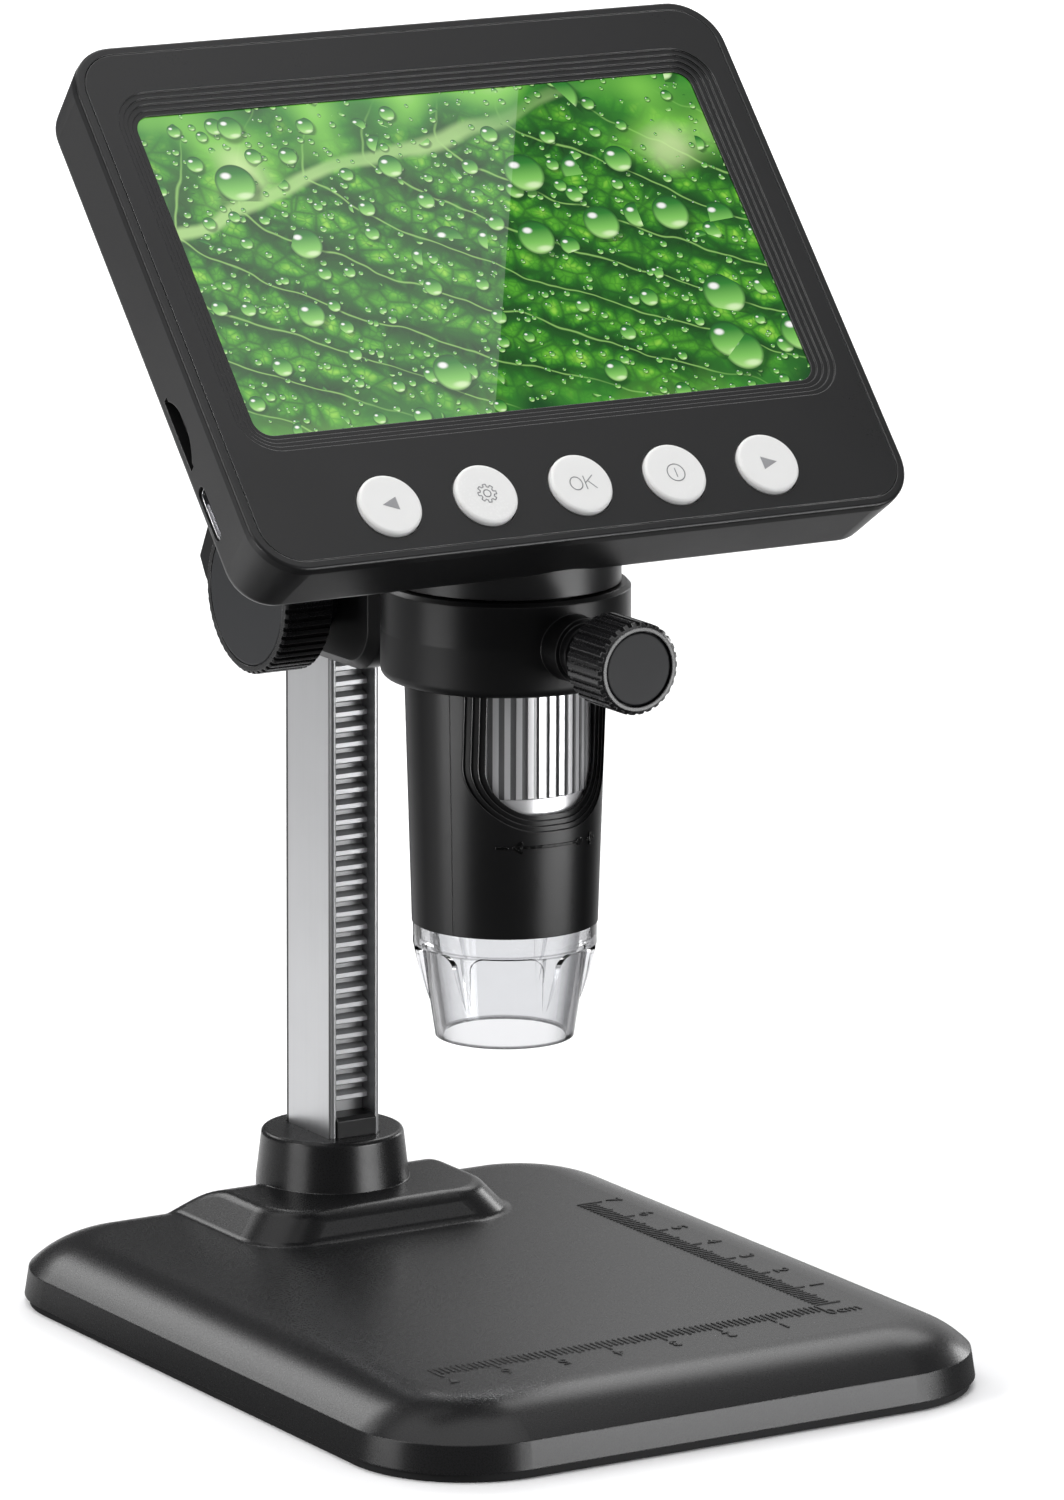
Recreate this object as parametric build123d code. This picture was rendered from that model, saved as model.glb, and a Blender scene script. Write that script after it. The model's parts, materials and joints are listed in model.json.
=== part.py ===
from build123d import *

import math
import os

# LCD digital microscope: weighted base, rack column, focusing carriage with a ring, and a
# head that holds the optics tube and a screen that leans back over it.
# Millimetres. +Z is up, the front faces -Y, and the origin is the middle of the underside.

# --- general clearances and fasteners -------------------------------------------------
SEAT_GAP = 0.05            # between a fixed piece and the pocket that it sits in
RUNNING_GAP = 0.08         # radial clearance of a shaft or a turning ring
SLIDE_GAP = 0.15           # clearance of a piece that slides on flat faces
PANEL_GAP = 0.15           # visible line between two housing pieces
SCREW_DIA = 2.6
SCREW_HEAD_DIA = 4.6
SCREW_HEAD_HEIGHT = 1.6

# --- base -----------------------------------------------------------------------------
BASE_WIDTH = 109.2
BASE_DEPTH = 137.0
BASE_CORNER = 20.0
PAD_THICKNESS = 1.4
PAD_INSET = 0.8
BASE_EDGE = 3.6            # height of the rim, below the shoulder
BASE_EDGE_LEAN = 9.0       # inward lean of the rim, in degrees
SHOULDER_RISE = 5.8
SHOULDER_WIDTH = 13.0
BASE_WALL = 2.0
WEIGHT_THICKNESS = 3.0
WEIGHT_INSET = 5.2
BASE_SCREW_X = 38.0
BASE_SCREW_Y = 50.0
SCREW_BOSS_DIA = 7.0
BASE_SCREW_LENGTH = 7.0

# --- plinth and column socket ---------------------------------------------------------
PLINTH_WIDTH = 40.0        # across its flat top
PLINTH_FRONT = 30.8        # y of the front edge of its top
PLINTH_RISE = 4.8
PLINTH_SIDE_SLOPE = 0.9    # sideways run for each unit of height
PLINTH_FRONT_SLOPE = 0.4
PLINTH_CORNER = 9.0
PLINTH_TOP_DEPTH = 23.0    # from the front edge to where the back slope would meet the top
PLINTH_BACK_ROUND = 16.0   # between the top and the back slope
PLINTH_BLEND = 2.6
PLINTH_FOOT = 1.6          # hollow round where the plinth meets the base
BOSS_TOP_DIA = 22.9
BOSS_FOOT_DIA = 24.8
BOSS_RISE = 8.1
BOSS_ROUND = 0.8

# --- column ---------------------------------------------------------------------------
COLUMN_Y = 49.8
COLUMN_WIDTH = 9.2
COLUMN_DEPTH = 14.6
COLUMN_CORNER = 0.8
COLUMN_TOP = 145.0
COLUMN_SLOT_WIDTH = 7.2
COLUMN_SLOT_DEPTH = 5.9
COLUMN_PORT_DIA = 2.6
COLUMN_PORT_BACK = 4.4     # from the back face to the middle of the screw port
COLUMN_SCREW_DIA = 2.6
COLUMN_SCREW_LENGTH = 12.0
CAP_THICKNESS = 2.4
CAP_PLUG = 4.0

# --- rack and pinion ------------------------------------------------------------------
GEAR_MODULE = 0.8
PRESSURE_ANGLE = 20.0
PINION_TEETH = 16
PINION_ADDENDUM = 0.8
PINION_DEDENDUM = 0.95
PINION_FACE = 6.0
RACK_ADDENDUM = 0.62
RACK_DEDENDUM = 1.0
RACK_SIDE_GAP = 0.1
RACK_TIP_SETBACK = 2.2     # tooth tips lie this far inside the column's front
TOOTH_BACKLASH = 0.12
RACK_END_BLOCK = 3.4
RACK_END_PROUD = 0.5       # how far that block stands out of the column
RACK_END_BEVEL = 0.6

# --- focusing carriage ----------------------------------------------------------------
DRIVE_Z = 115.2            # height of the knob shaft at rest
CARRIAGE_WIDTH = 17.4
CARRIAGE_HEIGHT = 23.6
CARRIAGE_FRONT = 22.4
CARRIAGE_CORNER = 7.5      # round of its front corners, in side view
CARRIAGE_BEVEL = 1.5
CARRIAGE_SCREW_X = 6.3
CARRIAGE_SCREW_DIA = 2.0
CARRIAGE_SCREW_HEAD = 3.4
CARRIAGE_SCREW_RISE = 8.4
CARRIAGE_SCREW_LENGTH = 14.0
REAR_COVER_DEPTH = 8.6     # to the seats of the screws
REAR_NOSE = 11.9           # from the screw seats to the tip of the nose
NOSE_UNDER_RUN = 3.0       # level underside behind the screw seats
NOSE_OVER_RUN = 5.0        # level top behind the screw seats
NOSE_TIP_DROP = 1.5        # tip, below the shaft
NOSE_CHIN_SETBACK = 2.0
NOSE_CHIN_DROP = 5.0
NOSE_BROW_SETBACK = 3.5
NOSE_BROW_RISE = 5.6
NOSE_BEVEL = 0.7
GUIDE_PAD_WIDTH = 8.0
GUIDE_PAD_THICKNESS = 2.3
GUIDE_PAD_HEIGHT = 20.0
SHAFT_DIA = 4.0
ARM_WIDTH = 14.0

# --- focus knobs ----------------------------------------------------------------------
KNOB_DIA = 25.3
KNOB_LENGTH = 8.6
KNOB_RIDGE_PITCH = 1.53
KNOB_RIDGE_HEIGHT = 0.5
KNOB_SIDE_GAP = 0.3
KNOB_HUB_DIA = 13.0
KNOB_HUB_LENGTH = 4.4
KNOB_CAP_DIA = 22.6
KNOB_CAP_THICKNESS = 1.0
KNOB_BORE_DEPTH = 6.0

# --- ring that holds the head ---------------------------------------------------------
TUBE_Y = -3.3              # axis of the optics
RING_DIA = 38.8
RING_HEIGHT = 14.9
RING_TOP = 122.5
RING_ROUND = 1.5
RING_CHAMFER = 0.6
CLAMP_AXIS_DROP = 7.2      # below the top of the ring
CLAMP_BOSS_DIA = 10.3
CLAMP_BOSS_REACH = 23.0    # from the tube's axis
CLAMP_STEP_DIA = 8.8
CLAMP_STEP_REACH = 24.6
CLAMP_INSERT_DIA = 6.0
CLAMP_SCREW_DIA = 4.0
CLAMP_HUB_DIA = 7.6
CLAMP_KNOB_BACK = 28.8     # from the tube's axis to the knob's inner face
CLAMP_KNOB_LENGTH = 10.1
CLAMP_KNOB_DIA = 14.3
CLAMP_RIDGE_PITCH = 1.5
CLAMP_RIDGE_HEIGHT = 0.45
CLAMP_CAP_DIA = 11.4
CLAMP_CAP_THICKNESS = 1.0

# --- optics tube ----------------------------------------------------------------------
BARREL_BOTTOM = 68.8
BARREL_FOOT_DIA = 29.0
BARREL_SHOULDER_DIA = 31.4
BARREL_RING_DIA = 31.8     # the round part that turns in the ring
BARREL_TOP = 131.0
BARREL_SPLIT_TOP = 107.6   # top of the separate front cover
BARREL_BORE = 23.8
BARREL_TOP_BORE = 24.4
COVER_HALF_ANGLE = 64.6
WHEEL_CHAMBER_DIA = 27.0
WHEEL_FLOOR = 86.8
WHEEL_CEILING = 107.5
WINDOW_HALF_WIDTH = 12.8
WINDOW_BOTTOM = 85.7
WINDOW_CORNER = 10.5
WINDOW_STEPS = 3
WINDOW_STEP_SIDE = 1.0
WINDOW_STEP_RISE = 0.8
WINDOW_STEP_DEPTH = 0.38
FOCUS_WHEEL_DIA = 26.4
FOCUS_WHEEL_BORE = 22.8
FOCUS_WHEEL_END_GAP = 0.2
FOCUS_RIB_PITCH = 1.84
FOCUS_RIB_HEIGHT = 0.55
FOCUS_WHEEL_BAND = 3.4     # smooth band below the ribs
LENS_CELL_GAP = 0.2
LENS_CELL_BOTTOM = 82.0
LENS_CELL_TOP = 103.0
LENS_CELL_BORE = 15.0
LENS_DIA = 16.0
LENS_EDGE = 2.0
LENS_BULGE = 1.2
LENS_STOP_DIA = 12.0

# --- lamp ring and clear cap ----------------------------------------------------------
CAP_SPIGOT_DEPTH = 5.2
CAP_SPIGOT_WALL = 1.2
LAMP_BOARD_THICKNESS = 1.6
LAMP_BOARD_BORE = 12.0
LAMP_LEDGE_DIA = 21.4
LAMP_LEDGE_HEIGHT = 1.2
LAMP_COUNT = 8
LAMP_DIA = 2.8
LAMP_HEIGHT = 2.2
LAMP_CIRCLE_DIA = 18.0
CLEAR_BOTTOM = 50.5
CLEAR_BAND = 3.4
CLEAR_TOP_DIA = 28.7
CLEAR_SHOULDER_DIA = 26.2
CLEAR_FOOT_DIA = 21.7
CLEAR_WALL = 1.2
CLEAR_RIB_FOOT = 56.0
CLEAR_PANELS = 6           # arched panels, with a rib between two of them at the front
CLEAR_PANEL_WIDTH = 11.1
CLEAR_PANEL_CORNER = 2.0

# --- sensor ---------------------------------------------------------------------------
SENSOR_BOARD_DIA = 28.0
SENSOR_BOARD_THICKNESS = 1.2
SENSOR_SIZE = 10.0
SENSOR_THICKNESS = 1.4

# --- screen unit, in its own frame: x across, y up the face, z out of the face ---------
SCREEN_LEAN = 41.3
SCREEN_Y = 0.24
SCREEN_Z = 169.3
SCREEN_DEPTH = 14.2
SCREEN_CORNER = 8.2
SCREEN_REAR_ROUND = 2.2
SCREEN_DRAFT = 7.5           # inward lean of the tub behind its rim, in degrees
SCREEN_WALL = 2.0
RIM_WIDTH = 1.4
RIM_ROUND = 0.5
RIM_BAND = 1.6             # height of the upright edge; the tub slopes in behind it
FRAME_THICKNESS = 3.2
WINDOW_WIDTH = 100.2
WINDOW_HEIGHT = 58.0
WINDOW_ROUND = 3.0
FRAME_SIDE = 8.35          # from the window to the sides of the screen unit
FRAME_TOP = 12.1
FRAME_BOTTOM = 24.2
BEZEL_STEPS = 4
BEZEL_TREAD = 0.88
BEZEL_DEPTH = 1.7
GLASS_THICKNESS = 0.8
PANEL_THICKNESS = 3.6
PANEL_MARGIN = 1.8         # how far glass and panel reach under the frame
BOARD_GAP = 2.2            # room for the chips in front of the main board
BOARD_THICKNESS = 1.0
BOARD_SIDE_INSET = 4.4     # from the edges of the screen unit to the main board
BOARD_LOWER_INSET = 11.2
BOARD_UPPER_INSET = 23.2
BOARD_SCREW_DIA = 2.0
BOARD_SCREW_INSET = 3.2
BOARD_SCREW_SPAN = 24.8    # between the upper and the lower pair of board screws
POST_DIA = 5.2
POST_SIDE_INSET = 6.85     # from the edges of the screen unit to the screws
POST_END_INSET = 6.2
POST_HEAD_ROOM = 2.6       # depth of the pocket for a screw head
POST_GRIP = 1.6            # length of thread in the front frame
BATTERY_WIDTH = 38.0
BATTERY_HEIGHT = 48.0
BATTERY_THICKNESS = 4.4
BATTERY_INSET = 11.4       # from the side of the screen unit
BATTERY_BOARD_GAP = 5.0
BATTERY_RISE = 8.0         # middle of the battery above the middle of the face
NECK_DIA = 35.8
NECK_GAP = 0.3

# --- keys -----------------------------------------------------------------------------
KEY_NAMES = ("left", "settings", "ok", "power", "right")
KEY_DIA = 10.4
KEY_GAP = 0.2
KEY_END_INSET = 16.3       # from the ends of the window to the outer keys
KEY_ROW_RISE = 9.15        # from the lower edge of the screen unit
KEY_PROUD = 0.9
KEY_ROUND = 0.5
KEY_FLANGE_DIA = 12.4
KEY_FLANGE = 0.7
KEY_TRAVEL = 0.5
KEY_POCKET = 1.6           # frame thickness left over the flange of a key
KEY_STEM_DIA = 3.2
KEY_BOARD_REACH = 8.2      # beyond the middle of the outer keys
KEY_BOARD_HEIGHT = 11.0
KEY_BOARD_DEPTH = 6.4
KEY_BOARD_POST_DIA = 3.0
SWITCH_SIZE = 4.5
SWITCH_HEIGHT = 1.6

# --- sockets on the left side ---------------------------------------------------------
CARD_LENGTH = 12.2
CARD_SLOT = 1.4
CARD_BODY = 14.0
CARD_BODY_THICKNESS = 2.4
CARD_RISE = 31.3           # from the lower edge of the screen unit
CARD_SCOOP_DEPTH = 1.1
CARD_SCOOP_BULGE = 2.8
PORT_LENGTH = 9.0
PORT_THICKNESS = 2.6
PORT_BODY = 7.4
PORT_WALL = 0.35
PORT_SETBACK = 0.5
PORT_TONGUE = 0.7
PORT_RISE = 17.15

# --- electronics behind the screen ----------------------------------------------------
CHIP_SIZES = ((12.0, 12.0), (9.0, 7.0), (6.0, 6.0))
CHIP_PLACES = ((30.0, -14.0), (12.0, -12.0), (42.0, -36.0))    # from the board's upper left corner
CHIP_HEIGHT = 1.2
CABLE_WIDTH = 8.0
CABLE_THICKNESS = 0.3
CABLE_PASSAGE = 11.0

# --- values that follow from the sizes above ------------------------------------------
BASE_RIM_TOP = PAD_THICKNESS + BASE_EDGE
SHOULDER_RADIUS = (SHOULDER_WIDTH ** 2 + SHOULDER_RISE ** 2) / (2 * SHOULDER_RISE)
BASE_TOP = BASE_RIM_TOP + SHOULDER_RISE
CAVITY_TOP = BASE_TOP - BASE_WALL
WEIGHT_TOP = PAD_THICKNESS + WEIGHT_THICKNESS
PLINTH_TOP = BASE_TOP + PLINTH_RISE
BOSS_TOP = PLINTH_TOP + BOSS_RISE
COLUMN_FRONT = COLUMN_Y - COLUMN_DEPTH / 2
COLUMN_BACK = COLUMN_Y + COLUMN_DEPTH / 2
TOOTH_PITCH = math.pi * GEAR_MODULE
PITCH_RADIUS = GEAR_MODULE * PINION_TEETH / 2
RACK_FACE = COLUMN_FRONT + RACK_TIP_SETBACK
RACK_PITCH_Y = RACK_FACE + RACK_ADDENDUM
RACK_BACK = COLUMN_FRONT + COLUMN_SLOT_DEPTH
DRIVE_Y = RACK_PITCH_Y - PITCH_RADIUS
RACK_BOTTOM = BOSS_TOP + RACK_END_BLOCK
CARRIAGE_BOTTOM = DRIVE_Z - CARRIAGE_HEIGHT / 2
CARRIAGE_TOP = DRIVE_Z + CARRIAGE_HEIGHT / 2
CARRIAGE_BACK = COLUMN_BACK + SLIDE_GAP
KNOB_INNER = CARRIAGE_WIDTH / 2 + KNOB_SIDE_GAP + KNOB_HUB_LENGTH
RING_BOTTOM = RING_TOP - RING_HEIGHT
CLAMP_Z = RING_TOP - CLAMP_AXIS_DROP
RING_BORE = BARREL_RING_DIA + 2 * RUNNING_GAP
CHAMBER_RADIUS = WHEEL_CHAMBER_DIA / 2
LENS_CELL_DIA = FOCUS_WHEEL_BORE - 2 * LENS_CELL_GAP
LAMP_BOARD_BOTTOM = BARREL_BOTTOM + CAP_SPIGOT_DEPTH
LAMP_BOARD_TOP = LAMP_BOARD_BOTTOM + LAMP_BOARD_THICKNESS
NECK_BOTTOM = RING_TOP + NECK_GAP
SCREEN_WIDTH = WINDOW_WIDTH + 2 * FRAME_SIDE
SCREEN_HEIGHT = WINDOW_HEIGHT + FRAME_TOP + FRAME_BOTTOM
WINDOW_RAISE = (FRAME_BOTTOM - FRAME_TOP) / 2
KEY_PITCH = (WINDOW_WIDTH - 2 * KEY_END_INSET) / (len(KEY_NAMES) - 1)
KEY_ROW = KEY_ROW_RISE - SCREEN_HEIGHT / 2
KEY_BOARD_WIDTH = WINDOW_WIDTH - 2 * KEY_END_INSET + 2 * KEY_BOARD_REACH
BATTERY_X = SCREEN_WIDTH / 2 - BATTERY_INSET - BATTERY_WIDTH / 2
BOARD_LEFT = SCREEN_WIDTH / 2 - BOARD_SIDE_INSET
BOARD_RIGHT = BATTERY_X - BATTERY_WIDTH / 2 - BATTERY_BOARD_GAP
BOARD_LOWER = BOARD_LOWER_INSET - SCREEN_HEIGHT / 2
BOARD_UPPER = SCREEN_HEIGHT / 2 - BOARD_UPPER_INSET
POST_X = SCREEN_WIDTH / 2 - POST_SIDE_INSET
POST_Y = SCREEN_HEIGHT / 2 - POST_END_INSET
CARD_Y = CARD_RISE - SCREEN_HEIGHT / 2
PORT_Y = PORT_RISE - SCREEN_HEIGHT / 2
PANEL_FRONT = -BEZEL_DEPTH - GLASS_THICKNESS
BOARD_FRONT = PANEL_FRONT - PANEL_THICKNESS - BOARD_GAP
BOARD_BACK = BOARD_FRONT - BOARD_THICKNESS
INNER_BACK = SCREEN_WALL - SCREEN_DEPTH
CARD_Z = BOARD_BACK - CARD_BODY_THICKNESS / 2
PORT_Z = BOARD_BACK - PORT_THICKNESS / 2
SENSOR_BOARD_TOP = BARREL_TOP + SENSOR_BOARD_THICKNESS
SENSOR_ROOM_TOP = SENSOR_BOARD_TOP + 2.0

LEAN = math.radians(SCREEN_LEAN)
SCREEN = Plane(
    origin=(0, SCREEN_Y, SCREEN_Z),
    x_dir=(1, 0, 0),
    z_dir=(0, -math.cos(LEAN), math.sin(LEAN)),
)
TUBE = Pos(0, TUBE_Y, 0)
FORWARD = Plane(origin=(0, TUBE_Y, CLAMP_Z), x_dir=(1, 0, 0), z_dir=(0, -1, 0))

os.makedirs("parts", exist_ok=True)


# --- helpers --------------------------------------------------------------------------
def save(name, *solids):
    """Write one node, a single solid or a group of separate ones."""
    shape = solids[0] if len(solids) == 1 else Compound(children=list(solids))
    export_step(shape, f"parts/{name}.step")


def block(x0, x1, y0, y1, z0, z1):
    """A box from its six face positions."""
    middle = Pos((x0 + x1) / 2, (y0 + y1) / 2, (z0 + z1) / 2)
    return middle * Box(x1 - x0, y1 - y0, z1 - z0)


def rod(diameter, low, high):
    """An upright cylinder between two heights."""
    return Pos(0, 0, (low + high) / 2) * Cylinder(diameter / 2, high - low)


def turned(section, arc=360.0):
    """Revolve a closed half-section of (radius, height) pairs about the z axis."""
    outline = Polyline(*[(radius, 0, height) for radius, height in section], close=True)
    return revolve(make_face(outline), Axis.Z, arc)


def slab(width, depth, corner, low, high):
    """A plate with rounded corners between two heights."""
    return Pos(0, 0, low) * extrude(RectangleRounded(width, depth, corner), high - low)


def screw(length, diameter=SCREW_DIA, head=SCREW_HEAD_DIA):
    """A pan-head screw that points down, with the seat of its head at z = 0."""
    return rod(diameter, -length, 0) + rod(head, 0, SCREW_HEAD_HEIGHT)


def knurled(diameter, length, ridge_pitch, ridge_height, edge):
    """A disc with straight ridges, from z = 0 to its length, with chamfered ends."""
    core = diameter / 2 - ridge_height
    count = round(math.pi * diameter / ridge_pitch)
    ridge = Pos(core, 0) * Rectangle(2 * ridge_height, 0.5 * ridge_pitch)
    outline = Circle(core) + [Rot(0, 0, 360 * i / count) * ridge for i in range(count)]
    half = diameter / 2
    envelope = turned([
        (0, 0), (half - edge, 0), (half, edge), (half, length - edge), (half - edge, length), (0, length),
    ])
    return extrude(outline, length) & envelope


# --- base -----------------------------------------------------------------------------
def base_form(inset):
    """The base with its leaning rim and its convex shoulder, offset inward for the cavity."""
    spread = SHOULDER_RADIUS - SHOULDER_WIDTH - inset
    crown = slab(
        BASE_WIDTH + 2 * spread, BASE_DEPTH + 2 * spread, BASE_CORNER + spread,
        BASE_TOP - SHOULDER_RADIUS - 1, BASE_TOP - inset,
    )
    crown = fillet(crown.faces().sort_by(Axis.Z)[-1].edges(), SHOULDER_RADIUS - inset)
    outline = RectangleRounded(BASE_WIDTH - 2 * inset, BASE_DEPTH - 2 * inset, BASE_CORNER - inset)
    rim = extrude(outline, BASE_TOP - PAD_THICKNESS, taper=BASE_EDGE_LEAN)
    return crown & Pos(0, 0, PAD_THICKNESS) * rim


def base_screw_places():
    return [(sx * BASE_SCREW_X, sy * BASE_SCREW_Y) for sx in (-1, 1) for sy in (-1, 1)]


def plinth():
    """The raised seat of the column, with sloping sides and a back that runs down to the rim."""
    foot_z = PAD_THICKNESS
    drop = PLINTH_TOP - foot_z
    back = BASE_DEPTH / 2 - PAD_INSET
    depth = back + PLINTH_CORNER - PLINTH_FRONT
    foot_depth = depth + PLINTH_FRONT_SLOPE * drop
    foot = RectangleRounded(PLINTH_WIDTH + 2 * PLINTH_SIDE_SLOPE * drop, foot_depth, PLINTH_CORNER)
    crown = RectangleRounded(PLINTH_WIDTH, depth, PLINTH_CORNER)
    form = loft([
        Pos(0, back + PLINTH_CORNER - foot_depth / 2, foot_z) * foot,
        Pos(0, back + PLINTH_CORNER - depth / 2, PLINTH_TOP) * crown,
    ])
    crest_y = PLINTH_FRONT + PLINTH_TOP_DEPTH
    side = make_face(Polyline(
        (0, 0), (0, PLINTH_TOP), (crest_y, PLINTH_TOP), (back, BASE_RIM_TOP), (back, 0),
        close=True,
    ))
    crest = side.vertices().sort_by_distance((crest_y, PLINTH_TOP))[0]
    side = Plane.YZ * fillet(crest, PLINTH_BACK_ROUND)
    form &= extrude(side, BASE_WIDTH / 2, both=True)
    upper = [face for face in form.faces() if face.normal_at().Z > 0.75]
    around = [edge for face in upper for edge in face.edges()]
    rim = [edge for edge in around if around.count(edge) == 1 and edge.center().Y < back - 0.5]
    return fillet(rim, PLINTH_BLEND)


def column_boss():
    """The round socket that grips the foot of the column."""
    boss = turned([
        (0, CAVITY_TOP), (BOSS_FOOT_DIA / 2, CAVITY_TOP), (BOSS_FOOT_DIA / 2, PLINTH_TOP),
        (BOSS_TOP_DIA / 2, BOSS_TOP), (0, BOSS_TOP),
    ])
    edges = boss.edges().filter_by(GeomType.CIRCLE).sort_by(Axis.Z)
    boss = fillet(edges[-1], BOSS_ROUND)
    return Pos(0, COLUMN_Y, 0) * boss


def base_shell():
    shell = base_form(0) + plinth()
    inner_y = BASE_DEPTH / 2 - SHOULDER_WIDTH
    level = shell.edges().filter_by_position(Axis.Z, BASE_TOP - 0.01, BASE_TOP + 0.01)
    foot = [e for e in level if abs(e.center().X) < 0.8 * PLINTH_WIDTH and 0 < e.center().Y < inner_y]
    shell = fillet(foot, PLINTH_FOOT) + column_boss()
    shell -= base_form(BASE_WALL)
    for x, y in base_screw_places():
        shell += Pos(x, y, 0) * rod(SCREW_BOSS_DIA, WEIGHT_TOP, CAVITY_TOP + 0.5 * BASE_WALL)
    socket_pad = rod(BOSS_FOOT_DIA, WEIGHT_TOP, CAVITY_TOP + 0.5 * BASE_WALL)
    shell += Pos(0, COLUMN_Y, 0) * socket_pad
    for x, y in base_screw_places():
        shell -= Pos(x, y, 0) * rod(SCREW_DIA, WEIGHT_TOP - 1, PAD_THICKNESS + BASE_SCREW_LENGTH + 0.5)
    shell -= block(
        -COLUMN_WIDTH / 2 - SEAT_GAP, COLUMN_WIDTH / 2 + SEAT_GAP,
        COLUMN_FRONT - SEAT_GAP, COLUMN_BACK + SEAT_GAP,
        WEIGHT_TOP - 1, BOSS_TOP + 1,
    )
    return shell


def base_weight():
    """Steel plate inside the base, drilled and counterbored for the screws from below."""
    plate = slab(
        BASE_WIDTH - 2 * WEIGHT_INSET, BASE_DEPTH - 2 * WEIGHT_INSET,
        BASE_CORNER - WEIGHT_INSET, PAD_THICKNESS, WEIGHT_TOP,
    )
    column_screw_y = COLUMN_BACK - COLUMN_PORT_BACK
    for x, y in base_screw_places() + [(0, column_screw_y)]:
        plate -= Pos(x, y, 0) * rod(SCREW_DIA + 2 * RUNNING_GAP, PAD_THICKNESS - 1, WEIGHT_TOP + 1)
        head_room = SCREW_HEAD_DIA + 4 * RUNNING_GAP
        plate -= Pos(x, y, 0) * rod(head_room, PAD_THICKNESS - 1, PAD_THICKNESS + SCREW_HEAD_HEIGHT)
    return plate


def upward_screw(x, y, length):
    """A screw driven from below, its head flush with the underside of the weight."""
    return Pos(x, y, PAD_THICKNESS + SCREW_HEAD_HEIGHT) * Rot(180, 0, 0) * screw(length)


def base_pad():
    width = BASE_WIDTH - 2 * PAD_INSET
    depth = BASE_DEPTH - 2 * PAD_INSET
    return slab(width, depth, BASE_CORNER - PAD_INSET, 0, PAD_THICKNESS)


def make_base():
    save("base_shell", base_shell())
    save("base_weight", base_weight())
    save("base_pad", base_pad())
    screw_length = BASE_SCREW_LENGTH - SCREW_HEAD_HEIGHT
    save("base_screws", *[upward_screw(x, y, screw_length) for x, y in base_screw_places()])
    save("column_screw", upward_screw(0, COLUMN_BACK - COLUMN_PORT_BACK, COLUMN_SCREW_LENGTH))


# --- column and rack ------------------------------------------------------------------
def column_section():
    """Extruded channel: open at the front for the rack, with a screw port behind it."""
    outline = Pos(0, COLUMN_Y) * RectangleRounded(COLUMN_WIDTH, COLUMN_DEPTH, COLUMN_CORNER)
    slot_middle = COLUMN_FRONT + COLUMN_SLOT_DEPTH / 2
    outline -= Pos(0, slot_middle - 1) * Rectangle(COLUMN_SLOT_WIDTH, COLUMN_SLOT_DEPTH + 2)
    port = Pos(0, COLUMN_BACK - COLUMN_PORT_BACK) * Circle(COLUMN_PORT_DIA / 2)
    return outline - port


def column():
    return Pos(0, 0, WEIGHT_TOP) * extrude(column_section(), COLUMN_TOP - WEIGHT_TOP)


def rack_half_tooth(depth):
    """Half the thickness of a rack tooth at a depth below its pitch line."""
    return TOOTH_PITCH / 4 - TOOTH_BACKLASH / 2 + depth * math.tan(math.radians(PRESSURE_ANGLE))


def rack():
    """Straight-cut rack with one tooth level with the shaft of the pinion at rest."""
    tip = rack_half_tooth(-RACK_ADDENDUM)
    root = rack_half_tooth(RACK_DEDENDUM)
    root_y = RACK_PITCH_Y + RACK_DEDENDUM
    top = COLUMN_TOP - SEAT_GAP - CAP_PLUG
    first = math.ceil((RACK_BOTTOM - DRIVE_Z) / TOOTH_PITCH + 0.5)
    last = math.floor((top - DRIVE_Z) / TOOTH_PITCH - 0.5)
    profile = [(RACK_BACK, RACK_BOTTOM), (root_y, RACK_BOTTOM)]
    for i in range(first, last + 1):
        middle = DRIVE_Z + i * TOOTH_PITCH
        profile += [(root_y, middle - root), (RACK_FACE, middle - tip)]
        profile += [(RACK_FACE, middle + tip), (root_y, middle + root)]
    profile += [(root_y, top), (RACK_BACK, top)]
    face = Plane.YZ * make_face(Polyline(*profile, close=True))
    return extrude(face, COLUMN_SLOT_WIDTH / 2 - RACK_SIDE_GAP, both=True)


def rack_end_block():
    """Moulded stop that closes the slot below the rack."""
    half = COLUMN_SLOT_WIDTH / 2 - SEAT_GAP
    stop = block(-half, half, COLUMN_FRONT - RACK_END_PROUD, RACK_BACK, BOSS_TOP, RACK_BOTTOM)
    front = stop.faces().sort_by(Axis.Y)[0]
    return chamfer(front.edges().sort_by(Axis.Z)[-1], RACK_END_BEVEL)


def column_cap():
    """End cap of the column, with a plug in the slot."""
    cap = slab(COLUMN_WIDTH, COLUMN_DEPTH, COLUMN_CORNER, COLUMN_TOP, COLUMN_TOP + CAP_THICKNESS)
    cap = Pos(0, COLUMN_Y, 0) * fillet(cap.faces().sort_by(Axis.Z)[-1].edges(), 0.7)
    half = COLUMN_SLOT_WIDTH / 2 - SEAT_GAP
    return cap + block(
        -half, half, COLUMN_FRONT + RACK_TIP_SETBACK, RACK_BACK - SEAT_GAP, COLUMN_TOP - CAP_PLUG, COLUMN_TOP
    )


def make_column():
    save("column", column())
    save("column_rack", rack())
    save("rack_end_block", rack_end_block())
    save("column_cap", column_cap())


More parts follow.
